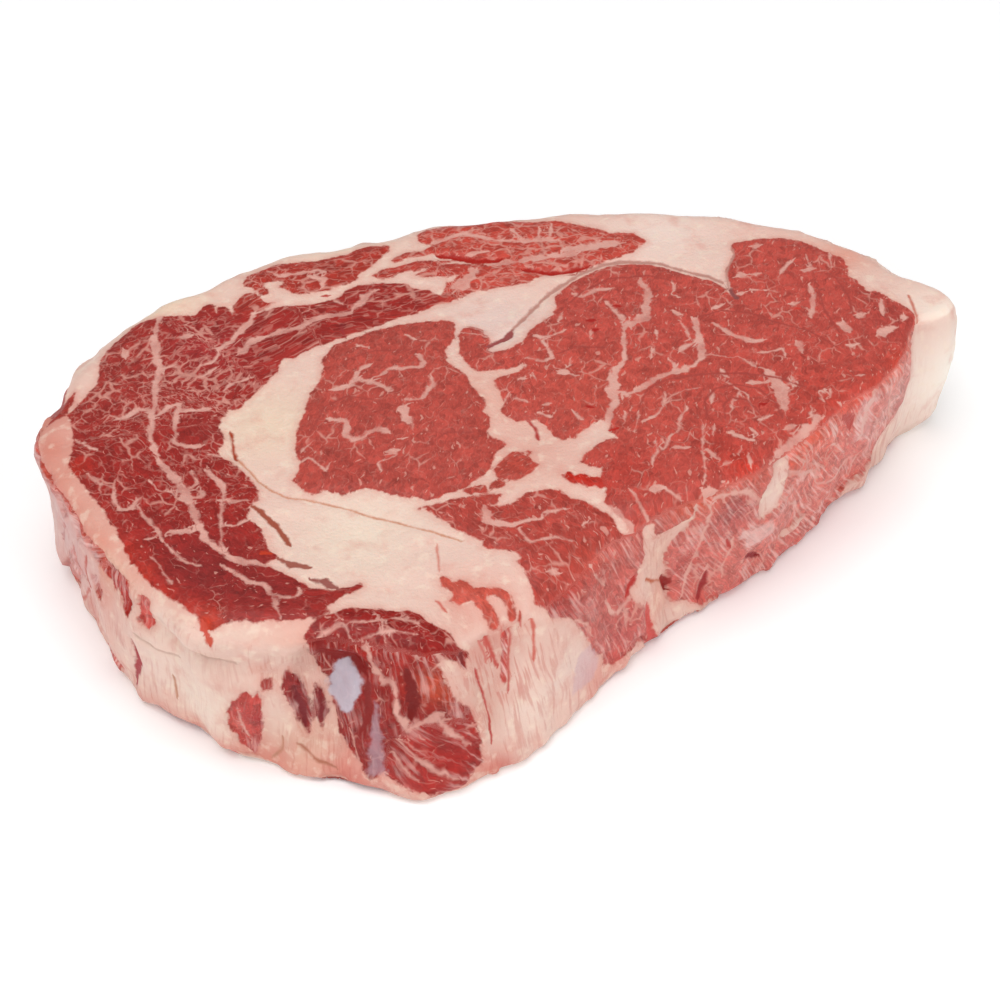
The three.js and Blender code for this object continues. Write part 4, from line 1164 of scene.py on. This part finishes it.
def relief(at, fields):
    """How far each point stands out of the plain form, in mm."""
    depth, wall, wall_at = fields["depth"], fields["wall"], fields["wall_at"]
    height = at[:, 2]
    _, seam_far, seam_half = fields["seam"].T
    _, line_far, line_half = fields["line"].T
    crown = CROWN * ease(*CROWN_RISE, depth)
    dip = SEAM_DIP * np.exp(-((seam_far / seam_half) ** 2))
    groove = fields["line_sink"] * np.exp(-((line_far / (line_half + GROOVE_LIP)) ** 2))
    strands = heights(turned(wall_at, WALL_GRAIN), LEAN_STRANDS) + heights(wall_at, LEAN_SWELLS)
    calm = CALM + (1 - CALM) * np.clip(fields["strands"] / FULLY_DRAWN, 0, 1)
    side = np.where(depth > 0, strands, heights(wall_at, FAT_FOLDS)) * calm
    side += heights(wall_at, FOOT_CRAGS) * np.exp(-((height / FOOT_HEIGHT) ** 2))
    rim = heights(at, RIM_CRAGS) * np.exp(-(((height - RIM_HEIGHT) / RIM_WIDTH) ** 2))
    rim *= RIM_ON_TOP + (1 - RIM_ON_TOP) * wall
    stands = crown - dip - groove + heights(at, LUMPS_ALL_OVER) + rim + wall * side
    return stands * ease(*SETTLES, height)


EASE_FACTOR = 0.5
EASE_ROUNDS = 8


def fine_copy(cad, spacing):
    """A copy of the CAD solid as an even, fine mesh with its facets eased away."""
    piece = bpy.data.objects.new("ribeye_steak", cad.data.copy())
    bpy.context.scene.collection.objects.link(piece)
    remesh = piece.modifiers.new("even", "REMESH")
    remesh.mode = "VOXEL"
    remesh.voxel_size = spacing * MM
    smooth = piece.modifiers.new("eased", "SMOOTH")
    smooth.factor = EASE_FACTOR
    smooth.iterations = EASE_ROUNDS
    shown = piece.evaluated_get(bpy.context.evaluated_depsgraph_get())
    mesh = bpy.data.meshes.new_from_object(shown)
    piece.modifiers.clear()
    piece.data = mesh
    return piece


def numbers(items, what, width=1, kind=np.float32):
    """One property of all points, corners or faces of a mesh, width numbers to each."""
    flat = np.zeros(len(items) * width, kind)
    items.foreach_get(what, flat)
    return flat if width == 1 else flat.reshape(-1, width).astype(float)


# The map for baking: pixels on a square of BAKE_SIDE, a large island for the cut face
BAKE_SIDE = 1024
TOP_SCALE = 4.0  # pixels to the mm
WALL_SCALE = 3.9
UNDER_SCALE = 1.35
MARGIN = 4  # pixels between islands
BAKE_FACING = 0.6  # what faces up or down more than this isn't wall


def bake_map(mesh, at, station):
    """Lays the top flat, the wall as two strips and the underside turned beside the top."""
    low, high = at.min(0), at.max(0)
    half_round = CHART_ROUND / 2
    corners = numbers(mesh.loops, "vertex_index", kind=np.int32)
    starts = numbers(mesh.polygons, "loop_start", kind=np.int32)
    counts = numbers(mesh.polygons, "loop_total", kind=np.int32)
    face = np.repeat(np.arange(len(counts)), counts)
    up = numbers(mesh.polygons, "normal", 3)[:, 2][face]
    here = at[corners]
    first = station[corners[starts]][face]
    round_it = first + (station[corners] - first + half_round) % CHART_ROUND - half_round
    strip = (first >= half_round).astype(float)
    top_row = BAKE_SIDE - MARGIN - (high[1] - low[1]) * TOP_SCALE
    top = np.stack([(here[:, 0] - low[0]) * TOP_SCALE + MARGIN,
                    (here[:, 1] - low[1]) * TOP_SCALE + top_row], 1)
    wall_row = MARGIN + strip * ((high[2] + 1) * WALL_SCALE + 2 * MARGIN)
    wall = np.stack([(round_it - strip * half_round + 1) * WALL_SCALE + MARGIN,
                     here[:, 2] * WALL_SCALE + wall_row], 1)
    beside = MARGIN * 2 + (high[0] - low[0]) * TOP_SCALE
    under = np.stack([(here[:, 1] - low[1]) * UNDER_SCALE + beside,
                      (here[:, 0] - low[0]) * UNDER_SCALE + top_row], 1)
    place = np.where((up < -BAKE_FACING)[:, None], under, wall)
    place = np.where((up > BAKE_FACING)[:, None], top, place)
    layer = mesh.uv_layers.new(name="OFBake")
    layer.data.foreach_set("uv", (place / BAKE_SIDE).astype(np.float32).ravel())


# What the mesh tells the material at each point, three numbers in each
TOLD = ("lean", "grain", "seam", "line", "lean_tone", "fat_tone", "line_tone", "film_tone", "film")


def make_steak(cad):
    """The steak's own mesh: fine, laid out, and raised into its relief."""
    piece = fine_copy(cad, SPACING)
    mesh = piece.data
    at = numbers(mesh.vertices, "co", 3) / MM
    normals = numbers(mesh.vertex_normals, "vector", 3)
    fields = steak_fields(at, normals[:, 2])
    raised = at + normals * relief(at, fields)[:, None]
    raised[:, 2] = np.maximum(raised[:, 2], 0)
    mesh.vertices.foreach_set("co", (raised * MM).astype(np.float32).ravel())
    fields["lean"] = np.stack([fields["depth"], fields["veins"], fields["flecks"]], 1)
    fields["grain"] = np.column_stack([fields["grain"], raised[:, 2]])
    fields["film"] = np.stack([fields["film"], fields["strands"], fields["film_share"]], 1)
    for name in TOLD:
        attribute = mesh.attributes.new(name, "FLOAT_VECTOR", "POINT")
        attribute.data.foreach_set("vector", fields[name].astype(np.float32).ravel())
    mesh.polygons.foreach_set("use_smooth", np.ones(len(mesh.polygons), bool))
    bake_map(mesh, at, fields["station"])
    mesh.update()
    return piece


# ---------------------------------------------------------------------------------------
# Raw beef
# ---------------------------------------------------------------------------------------

# Real sizes in mm of what the material draws
EDGE_WAVE = 2.0  # the uneven border between lean and fat
SEAM_WAVE = 3.2  # how a seam wanders
SEAM_SWELL = 2.4  # how a seam swells and thins
FILM_WAVE = 2.0
BUNDLE = 1.15  # bundles of muscle fibre, seen cut across
BEND = 2.6  # how the rows of bundles bend
BORDER_GATE = 2.1  # how far a fatty border runs between bundles
NET_CELL = 2.9  # groups of bundles, edged with fat
NET_GATE = 6.5
VEIN_SPACING = 3.6  # marbling threads
VEIN_GATE = 5.5  # how far the threads run before they fade out
FLECK_SPACING = 1.7
FINE_FLECK_SPACING = 1.0
FIBRE = 0.45  # fibres are nearer 0.1 mm; drawn coarser so that they show
MOTTLE = 3.6
FAT_LOBE = 6.0
FAT_THREAD = 2.6
MOISTURE = 0.9
GRIT = 0.72
STREAK = 0.8  # how far apart the streaks of the wall lie
STREAK_SWING = 16.0  # how far they run before they turn a little
STREAK_GATHER = 7.0

# How many times longer each is along the grain than across it
BUNDLE_PULL = (1.35, 1, 1)
NET_PULL = (1.5, 1, 1)
NET_GATE_PULL = (1.4, 1, 1)
VEIN_PULL = (1.5, 1, 1)
VEIN_GATE_PULL = (1.3, 1, 1)
FLECK_PULL = (2.0, 0.8, 1)
FIBRE_PULL = (3, 1, 1)
STREAK_PULL = (9, 1, 1)
EVEN = (1, 1, 1)

# How far random waves push things, in mm
EDGE_PUSH = 1.6
EDGE_BY_BUNDLE = -0.3
SEAM_PUSH = 1.5
LINE_PUSH = 0.6
FILM_PUSH = 2.4
BEND_PUSH = 1.7
SWING_PUSH = 3.0

# The strength with which each layer covers what is under it
THREAD_COVER = 0.68
THREAD_IN_NET = 0.5
BLUSH_COVER = 0.45
CREAM_COVER = 0.4
SMEAR_COVER = 0.55

# How much each one lightens the lean
FIBRE_SHADE = 0.6
MOTTLE_SHADE = 0.6
BUNDLE_SHADE = 0.3
DARKEST = 0.22

# How much wider or denser the marbling grows with the layout's density
BORDER_BY_VEINS = 0.12
NET_BY_VEINS = 0.14
THREADS_BY_VEINS = -0.02  # less: threads show where this value is low
FLECKS_BY_SHARE = 0.07

STREAKS_BY_GATHER = 0.6
WET_HEIGHT = 0.8  # of the moisture in the fine relief, to 1 of grit

MARBLING = "#d8988a"
SEAM_FAT = "#dba396"
FAT_BLUSH = "#d68f80"
FAT_CREAM = "#f1dcc8"
WALL_HAZE = "#efc6bd"
WALL_RED = "#c25c50"  # red streaks smeared over the fat of the wall

SMOOTH = {"interpolation_type": "SMOOTHSTEP"}
SUM = {"operation": "MULTIPLY_ADD"}
TIMES = {"operation": "MULTIPLY"}
LESS = {"operation": "SUBTRACT"}
FLAT = {"noise_dimensions": "2D"}
FLAT_CELLS = {"voronoi_dimensions": "2D"}


def between(start, end):
    """The values between which a thing comes to show; it fades out where end is the lower."""
    if start < end:
        return {"From Min": start, "From Max": end}
    return {"From Min": end, "From Max": start, "To Min": 1.0, "To Max": 0.0}


def scaled(times, plus):
    """A pattern's value times one number, plus another."""
    return {1: times, 2: plus}


LEAN_SHOWS = between(0.25, 0.85)
FILM_SHOWS = between(0.7, 1.7)
LINE_SIDE = between(0.5, -0.2)
LINE_END = between(0.8, 0.3)
BORDER_SHOWS = between(-0.12, 0.22)
THREAD_SHOWS = between(0.02, -0.01)
THREAD_GATE = between(0.53, 0.65)
NET_SHOWS = between(-0.06, 0.1)
FLECKS_SHOW = between(0.71, 0.8)
FINE_FLECKS_SHOW = between(0.73, 0.82)
HAZE_SHOWS = between(0.74, 1.14)
SMEAR_SHOWS = between(0.8, 0.6)
BLUSH_SHOWS = between(0.5, 0.75)
CREAM_SHOWS = between(0.52, 0.7)
NEAR_LEAN = between(-1.6, 0.9)

LINE_SWELL = scaled(2.6, -0.5)
BORDER_WIDTH = scaled(1.3, -0.67)
NET_WIDTH = scaled(0.6, -0.355)
FINE_FAT = scaled(0.5, 0.03)
SEAM_COVER = scaled(1.6, 0.05)
WET_ROUGHNESS = scaled(0.35, 0.3)


def add(tree, kind, inputs=None, **settings):
    """Adds one node with its settings; an input is a value, a node or one of its outputs."""
    made = tree.nodes.new(kind)
    for name, value in settings.items():
        setattr(made, name, value)
    for socket, value in (inputs or {}).items():
        if isinstance(value, bpy.types.Node):
            value = value.outputs[0]
        if isinstance(value, bpy.types.NodeSocket):
            tree.links.new(value, made.inputs[socket])
        else:
            made.inputs[socket].default_value = value
    return made


def cells_of(tree, place, size, pull, offset=0.0):
    """Coordinates in which lumps of one size in mm are 1 across, pulled out along the grain."""
    scale = [1 / (size * p) for p in pull]
    return add(tree, "ShaderNodeVectorMath", {0: place, 1: scale, 2: [offset] * 3}, **SUM)


def clouds_on(tree, grain, size, pull, detail, offset):
    """Cloudy noise that follows the grain; each offset is another part of the noise."""
    cells = cells_of(tree, grain, size, pull, offset)
    noise = {"Vector": cells, "Scale": 1.0, "Detail": detail}
    return add(tree, "ShaderNodeTexNoise", noise, **FLAT)


def clouds_in(tree, place, size, detail, offset):
    """Cloudy noise through the whole piece; each offset is another part of the noise."""
    cells = cells_of(tree, place, size, EVEN, offset)
    return add(tree, "ShaderNodeTexNoise", {"Vector": cells, "Scale": 1.0, "Detail": detail})


def thin_line(tree, field, place, push, luck):
    """Where a seam or line shows: its signed side gives a crisp edge, its distance an end."""
    side, far, half = add(tree, "ShaderNodeSeparateXYZ", {0: field}).outputs
    wander = clouds_in(tree, place, SEAM_WAVE, 2.0, push * 3)
    moved = add(tree, "ShaderNodeMath", {0: wander, 1: push, 2: side}, **SUM)
    centred = add(tree, "ShaderNodeMath", {0: moved, 1: push / 2}, **LESS)
    off = add(tree, "ShaderNodeMath", {0: centred}, operation="ABSOLUTE")
    swell = clouds_in(tree, place, SEAM_SWELL, 3.0, push * 3 + 7)
    factor = add(tree, "ShaderNodeMath", {0: swell, **LINE_SWELL}, **SUM)
    reach = add(tree, "ShaderNodeMath", {0: half, 1: factor}, **TIMES)
    body = add(tree, "ShaderNodeMath", {0: off, 1: reach}, **LESS)
    body = add(tree, "ShaderNodeMath", {0: luck, 1: push / 5, 2: body}, **SUM)
    past = add(tree, "ShaderNodeMath", {0: far, 1: half}, **LESS)
    beside = add(tree, "ShaderNodeMapRange", {"Value": body, **LINE_SIDE}, **SMOOTH)
    before_end = add(tree, "ShaderNodeMapRange", {"Value": past, **LINE_END}, **SMOOTH)
    return add(tree, "ShaderNodeMath", {0: beside, 1: before_end}, **TIMES)


def laid_over(tree, colour, layers):
    """A colour with others laid over it in turn, each by its own amount."""
    for amount, over in layers:
        inputs = {"Factor": amount, 6: colour, 7: over}
        colour = add(tree, "ShaderNodeMix", inputs, data_type="RGBA").outputs[2]
    return colour


def linear(colour):
    """A hex colour as a socket value."""
    return (*tone(colour), 1.0)


def bundles(tree, grain, vein_share):
    """Bundles of fibre: a steady random number for each one, and the fine fat between them."""
    bend = add(tree, "ShaderNodeTexNoise",
               {"Vector": grain, "Scale": 1 / BEND, "Detail": 1.2}, **FLAT)
    bent = add(tree, "ShaderNodeVectorMath",
               {0: bend.outputs["Color"], 1: [BEND_PUSH] * 3, 2: grain}, **SUM)
    cells = cells_of(tree, bent, BUNDLE, BUNDLE_PULL)
    bundle = add(tree, "ShaderNodeTexVoronoi", {"Vector": cells, "Scale": 1.0}, **FLAT_CELLS)
    luck = add(tree, "ShaderNodeSeparateColor", {0: bundle.outputs["Color"]}).outputs[0]
    border = add(tree, "ShaderNodeTexVoronoi", {"Vector": cells, "Scale": 1.0},
                 feature="DISTANCE_TO_EDGE", **FLAT_CELLS)
    # Some bundles have a fatty border and others none
    gate = clouds_on(tree, grain, BORDER_GATE, EVEN, 3.0, 0.0)
    wide = add(tree, "ShaderNodeMath", {0: gate, **BORDER_WIDTH}, **SUM)
    wide = add(tree, "ShaderNodeMath", {0: vein_share, 1: BORDER_BY_VEINS, 2: wide}, **SUM)
    thin = add(tree, "ShaderNodeMath", {0: wide, 1: border}, **LESS)
    fat = add(tree, "ShaderNodeMapRange", {"Value": thin, **BORDER_SHOWS}, **SMOOTH)
    return bent, luck, fat


def marbling(tree, grain, bent, vein_share, fleck_share):
    """Threads, nets and flecks of fat inside the lean, as dense as the layout says."""
    # Short wandering threads
    threads = clouds_on(tree, bent, VEIN_SPACING, VEIN_PULL, 1.5, 0.0)
    middle = add(tree, "ShaderNodeMath", {0: threads, 1: 0.5}, **LESS)
    off = add(tree, "ShaderNodeMath", {0: middle}, operation="ABSOLUTE")
    off = add(tree, "ShaderNodeMath", {0: vein_share, 1: THREADS_BY_VEINS, 2: off}, **SUM)
    gate = clouds_on(tree, grain, VEIN_GATE, VEIN_GATE_PULL, 2.0, 31)
    gate = add(tree, "ShaderNodeMapRange", {"Value": gate, **THREAD_GATE}, **SMOOTH)
    thread = add(tree, "ShaderNodeMapRange", {"Value": off, **THREAD_SHOWS}, **SMOOTH)
    thread = add(tree, "ShaderNodeMath", {0: thread, 1: gate}, **TIMES)
    thread = add(tree, "ShaderNodeMath", {0: thread, 1: THREAD_IN_NET}, **TIMES)

    # A net round groups of bundles, wide where the muscle is fattest
    groups = cells_of(tree, bent, NET_CELL, NET_PULL)
    net = add(tree, "ShaderNodeTexVoronoi", {"Vector": groups, "Scale": 1.0},
              feature="DISTANCE_TO_EDGE", **FLAT_CELLS)
    richness = clouds_on(tree, grain, NET_GATE, NET_GATE_PULL, 3.0, 47)
    width = add(tree, "ShaderNodeMath", {0: richness, **NET_WIDTH}, **SUM)
    width = add(tree, "ShaderNodeMath", {0: vein_share, 1: NET_BY_VEINS, 2: width}, **SUM)
    thin = add(tree, "ShaderNodeMath", {0: width, 1: net}, **LESS)
    net = add(tree, "ShaderNodeMapRange", {"Value": thin, **NET_SHOWS}, **SMOOTH)
    total = add(tree, "ShaderNodeMath", {0: thread, 1: net}, operation="MAXIMUM")

    # Uneven flecks of two sizes, drawn out along the grain
    for size, offset, shows in ((FLECK_SPACING, 3, FLECKS_SHOW),
                                (FINE_FLECK_SPACING, 17, FINE_FLECKS_SHOW)):
        flecks = clouds_on(tree, bent, size, FLECK_PULL, 2.0, offset)
        flecks = add(tree, "ShaderNodeMath", {0: fleck_share, 1: FLECKS_BY_SHARE, 2: flecks}, **SUM)
        flecks = add(tree, "ShaderNodeMapRange", {"Value": flecks, **shows}, **SMOOTH)
        total = add(tree, "ShaderNodeMath", {0: total, 1: flecks}, operation="MAXIMUM")
    return total


def streaks(tree, grain, place, stranded):
    """Fine streaks down the wall: pale haze over its lean, and red smeared over its fat."""
    swing = add(tree, "ShaderNodeTexNoise",
                {"Vector": grain, "Scale": 1 / STREAK_SWING, "Detail": 0.0}, **FLAT)
    swung = add(tree, "ShaderNodeVectorMath",
                {0: swing.outputs["Color"], 1: [SWING_PUSH] * 3, 2: grain}, **SUM)
    streak = clouds_on(tree, swung, STREAK, STREAK_PULL, 4.0, 23)
    gathered = clouds_in(tree, place, STREAK_GATHER, 2.0, 33)
    lift = add(tree, "ShaderNodeMath", {0: gathered, 1: STREAKS_BY_GATHER, 2: streak}, **SUM)
    haze = add(tree, "ShaderNodeMapRange", {"Value": lift, **HAZE_SHOWS}, **SMOOTH)
    smear = add(tree, "ShaderNodeMapRange", {"Value": lift, **SMEAR_SHOWS}, **SMOOTH)
    haze = add(tree, "ShaderNodeMath", {0: haze, 1: stranded}, **TIMES)
    smear = add(tree, "ShaderNodeMath", {0: smear, 1: stranded}, **TIMES)
    return haze, add(tree, "ShaderNodeMath", {0: smear, 1: SMEAR_COVER}, **TIMES)


def cut_fibre(tree, lean_tone, place, bent, luck):
    """Plain lean: bundles of fibre, each a little lighter or darker, and soft mottling."""
    fibre = clouds_on(tree, bent, FIBRE, FIBRE_PULL, 2.0, 5)
    mottle = clouds_in(tree, place, MOTTLE, 4.0, 9)
    shade = add(tree, "ShaderNodeMath", {0: fibre, 1: FIBRE_SHADE, 2: DARKEST}, **SUM)
    shade = add(tree, "ShaderNodeMath", {0: mottle, 1: MOTTLE_SHADE, 2: shade}, **SUM)
    shade = add(tree, "ShaderNodeMath", {0: luck, 1: BUNDLE_SHADE, 2: shade}, **SUM)
    return add(tree, "ShaderNodeHueSaturation",
               {"Value": shade, "Saturation": 1.03, "Color": lean_tone}).outputs[0]


def waxy_fat(tree, fat_tone, place, lobe, edge, smear):
    """Fat: waxy lobes that blush where they meet the lean, with cream threads and red smears."""
    threads = clouds_in(tree, place, FAT_THREAD, 4.0, 61)
    blush = add(tree, "ShaderNodeMapRange", {"Value": lobe, **BLUSH_SHOWS}, **SMOOTH)
    near_lean = add(tree, "ShaderNodeMapRange", {"Value": edge, **NEAR_LEAN}, **SMOOTH)
    blush = add(tree, "ShaderNodeMath", {0: blush, 1: near_lean}, operation="MAXIMUM")
    blush = add(tree, "ShaderNodeMath", {0: blush, 1: BLUSH_COVER}, **TIMES)
    cream = add(tree, "ShaderNodeMapRange", {"Value": threads, **CREAM_SHOWS}, **SMOOTH)
    cream = add(tree, "ShaderNodeMath", {0: cream, 1: CREAM_COVER}, **TIMES)
    return laid_over(tree, fat_tone, [
        (blush, linear(FAT_BLUSH)), (cream, linear(FAT_CREAM)), (smear, linear(WALL_RED)),
    ])


def raw_beef():
    """Raw, well-marbled beef, cut with a knife: wet deep-pink lean with fibre and fat flecks,
    waxy cream fat that blushes pink, and milky film. The eye sees a moist, soft sheen."""
    material = bpy.data.materials.new("raw_marbled_beef_knife_cut")
    material.use_nodes = True
    tree = material.node_tree
    tree.nodes.clear()
    read = {
        name: add(tree, "ShaderNodeAttribute", attribute_name=name).outputs["Vector"]
        for name in TOLD
    }
    grain = read["grain"]
    spot = add(tree, "ShaderNodeTexCoord").outputs["Object"]
    place = add(tree, "ShaderNodeVectorMath", {0: spot, "Scale": 1 / MM}, operation="SCALE")
    depth, vein_share, fleck_share = add(tree, "ShaderNodeSeparateXYZ", {0: read["lean"]}).outputs
    film_parts = add(tree, "ShaderNodeSeparateXYZ", {0: read["film"]}).outputs
    film_depth, stranded, film_strength = film_parts

    # Where lean, fat, seams, lines and film show
    bent, luck, border = bundles(tree, grain, vein_share)
    ragged = clouds_in(tree, place, EDGE_WAVE, 3.0, 0.0)
    edge = add(tree, "ShaderNodeMath", {0: ragged, 1: EDGE_PUSH, 2: depth}, **SUM)
    edge = add(tree, "ShaderNodeMath", {0: luck, 1: EDGE_BY_BUNDLE, 2: edge}, **SUM)
    is_lean = add(tree, "ShaderNodeMapRange", {"Value": edge, **LEAN_SHOWS}, **SMOOTH)
    seam = thin_line(tree, read["seam"], place, SEAM_PUSH, luck)
    line = thin_line(tree, read["line"], place, LINE_PUSH, luck)
    threads = marbling(tree, grain, bent, vein_share, fleck_share)
    haze, smear = streaks(tree, grain, place, stranded)
    filmy = clouds_in(tree, place, FILM_WAVE, 2.0, 41)
    filmy = add(tree, "ShaderNodeMath", {0: filmy, 1: FILM_PUSH, 2: film_depth}, **SUM)
    film = add(tree, "ShaderNodeMapRange", {"Value": filmy, **FILM_SHOWS}, **SMOOTH)
    film = add(tree, "ShaderNodeMath", {0: film, 1: film_strength}, **TIMES)

    # Lean with its fat: seams are thick and pale in places and let the lean through in others
    lobe = clouds_in(tree, place, FAT_LOBE, 4.0, 51)
    fine_fat = add(tree, "ShaderNodeMath", {0: vein_share, **FINE_FAT}, **SUM)
    fine_fat = add(tree, "ShaderNodeMath", {0: fine_fat, 1: border}, **TIMES)
    threads = add(tree, "ShaderNodeMath", {0: threads, 1: THREAD_COVER}, **TIMES)
    thick = add(tree, "ShaderNodeMath", {0: lobe, **SEAM_COVER}, use_clamp=True, **SUM)
    seam = add(tree, "ShaderNodeMath", {0: seam, 1: thick}, **TIMES)
    lean = laid_over(tree, cut_fibre(tree, read["lean_tone"], place, bent, luck), [
        (haze, linear(WALL_HAZE)), (fine_fat, linear(MARBLING)), (threads, linear(MARBLING)),
        (seam, linear(SEAM_FAT)),
    ])
    fat = waxy_fat(tree, read["fat_tone"], place, lobe, edge, smear)
    colour = laid_over(tree, fat, [
        (is_lean, lean), (film, read["film_tone"]), (line, read["line_tone"]),
    ])

    # Fine relief and moisture
    wet = clouds_in(tree, place, MOISTURE, 2.0, 71)
    grit = clouds_in(tree, place, GRIT, 1.0, 81)
    height = add(tree, "ShaderNodeMath", {0: wet, 1: WET_HEIGHT, 2: grit}, **SUM)
    bump = add(tree, "ShaderNodeBump", {"Height": height, "Strength": 0.5, "Distance": 0.25 * MM})
    rough = add(tree, "ShaderNodeMath", {0: wet, **WET_ROUGHNESS}, **SUM)
    surface = add(tree, "ShaderNodeBsdfPrincipled", {
        "Base Color": colour, "Roughness": rough, "Normal": bump, "IOR": 1.4,
        "Specular IOR Level": 0.3, "Subsurface Weight": 0.12,
        "Subsurface Radius": (1.0, 0.4, 0.3), "Subsurface Scale": 1.0 * MM,
        "Coat Weight": 0.05, "Coat Roughness": 0.25,
    })
    add(tree, "ShaderNodeOutputMaterial", {"Surface": surface})
    return material


# ---------------------------------------------------------------------------------------
# Studio
# ---------------------------------------------------------------------------------------

AIM = Vector((-8.17, -7.23, 18)) * MM
CAMERA_DISTANCE = 560 * MM
CAMERA_HEIGHT_ANGLE = math.radians(42)
CAMERA_HEADING = math.radians(14)  # turned from looking along +Y towards +X
IMAGE_WIDTH = 1000  # pixels
FOCAL_PIXELS = 2632
SENSOR = 36.0  # mm

FLOOR_HALF = 6.0  # m
PAPER = {
    "Base Color": (0.97, 0.97, 0.97, 1), "Roughness": 0.9, "Specular IOR Level": 0.1,
    "Emission Color": (1, 1, 1, 1), "Emission Strength": 0.09,
}
ROOM = {"Color": (1, 1, 1, 1), "Strength": 0.26}
SOFTBOXES = [  # name, place in m, side in m, power in W
    ("overhead", (-0.25, -0.1, 1.4), 1.2, 14.5),
    ("front", (-0.7, -1.2, 0.7), 1.0, 6.5),
    ("side", (1.2, -0.5, 0.6), 0.8, 5.2),
]


def camera():
    """The camera that looks down on the cut face from the tail's side."""
    flat = math.cos(CAMERA_HEIGHT_ANGLE)
    look = Vector((flat * math.sin(CAMERA_HEADING), flat * math.cos(CAMERA_HEADING),
                   -math.sin(CAMERA_HEIGHT_ANGLE)))
    lens = bpy.data.cameras.new("camera")
    lens.sensor_width = SENSOR
    lens.lens = SENSOR * FOCAL_PIXELS / IMAGE_WIDTH
    stand = bpy.data.objects.new("camera", lens)
    stand.location = AIM - look * CAMERA_DISTANCE
    stand.rotation_euler = look.to_track_quat("-Z", "Y").to_euler()
    bpy.context.scene.collection.objects.link(stand)
    bpy.context.scene.camera = stand


def soft_light(name, place, size, power):
    """One square softbox that faces the steak."""
    lamp = bpy.data.lights.new(name, "AREA")
    lamp.shape = "SQUARE"
    lamp.size = size
    lamp.energy = power
    stand = bpy.data.objects.new(name, lamp)
    stand.location = place
    stand.rotation_euler = (AIM - Vector(place)).to_track_quat("-Z", "Y").to_euler()
    bpy.context.scene.collection.objects.link(stand)


def studio():
    """A white floor, a pale room and three softboxes."""
    corners = [(x * FLOOR_HALF, y * FLOOR_HALF, 0) for x, y in ((-1, -1), (1, -1), (1, 1), (-1, 1))]
    mesh = bpy.data.meshes.new("floor")
    mesh.from_pydata(corners, [], [(0, 1, 2, 3)])
    floor = bpy.data.objects.new("floor", mesh)
    bpy.context.scene.collection.objects.link(floor)
    # White backdrop paper: matt, and lit a little from itself so that it stays pale
    paper = bpy.data.materials.new("white_backdrop_paper")
    paper.use_nodes = True
    for socket, value in PAPER.items():
        paper.node_tree.nodes["Principled BSDF"].inputs[socket].default_value = value
    mesh.materials.append(paper)
    for softbox in SOFTBOXES:
        soft_light(*softbox)
    room = bpy.data.worlds.new("room")
    room.use_nodes = True
    for socket, value in ROOM.items():
        room.node_tree.nodes["Background"].inputs[socket].default_value = value
    bpy.context.scene.world = room
    bpy.context.scene.view_settings.view_transform = "Standard"


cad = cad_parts["steak"]
steak = make_steak(cad)
steak.data.materials.clear()
steak.data.materials.append(raw_beef())
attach(steak, "root")
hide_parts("steak")
camera()
studio()
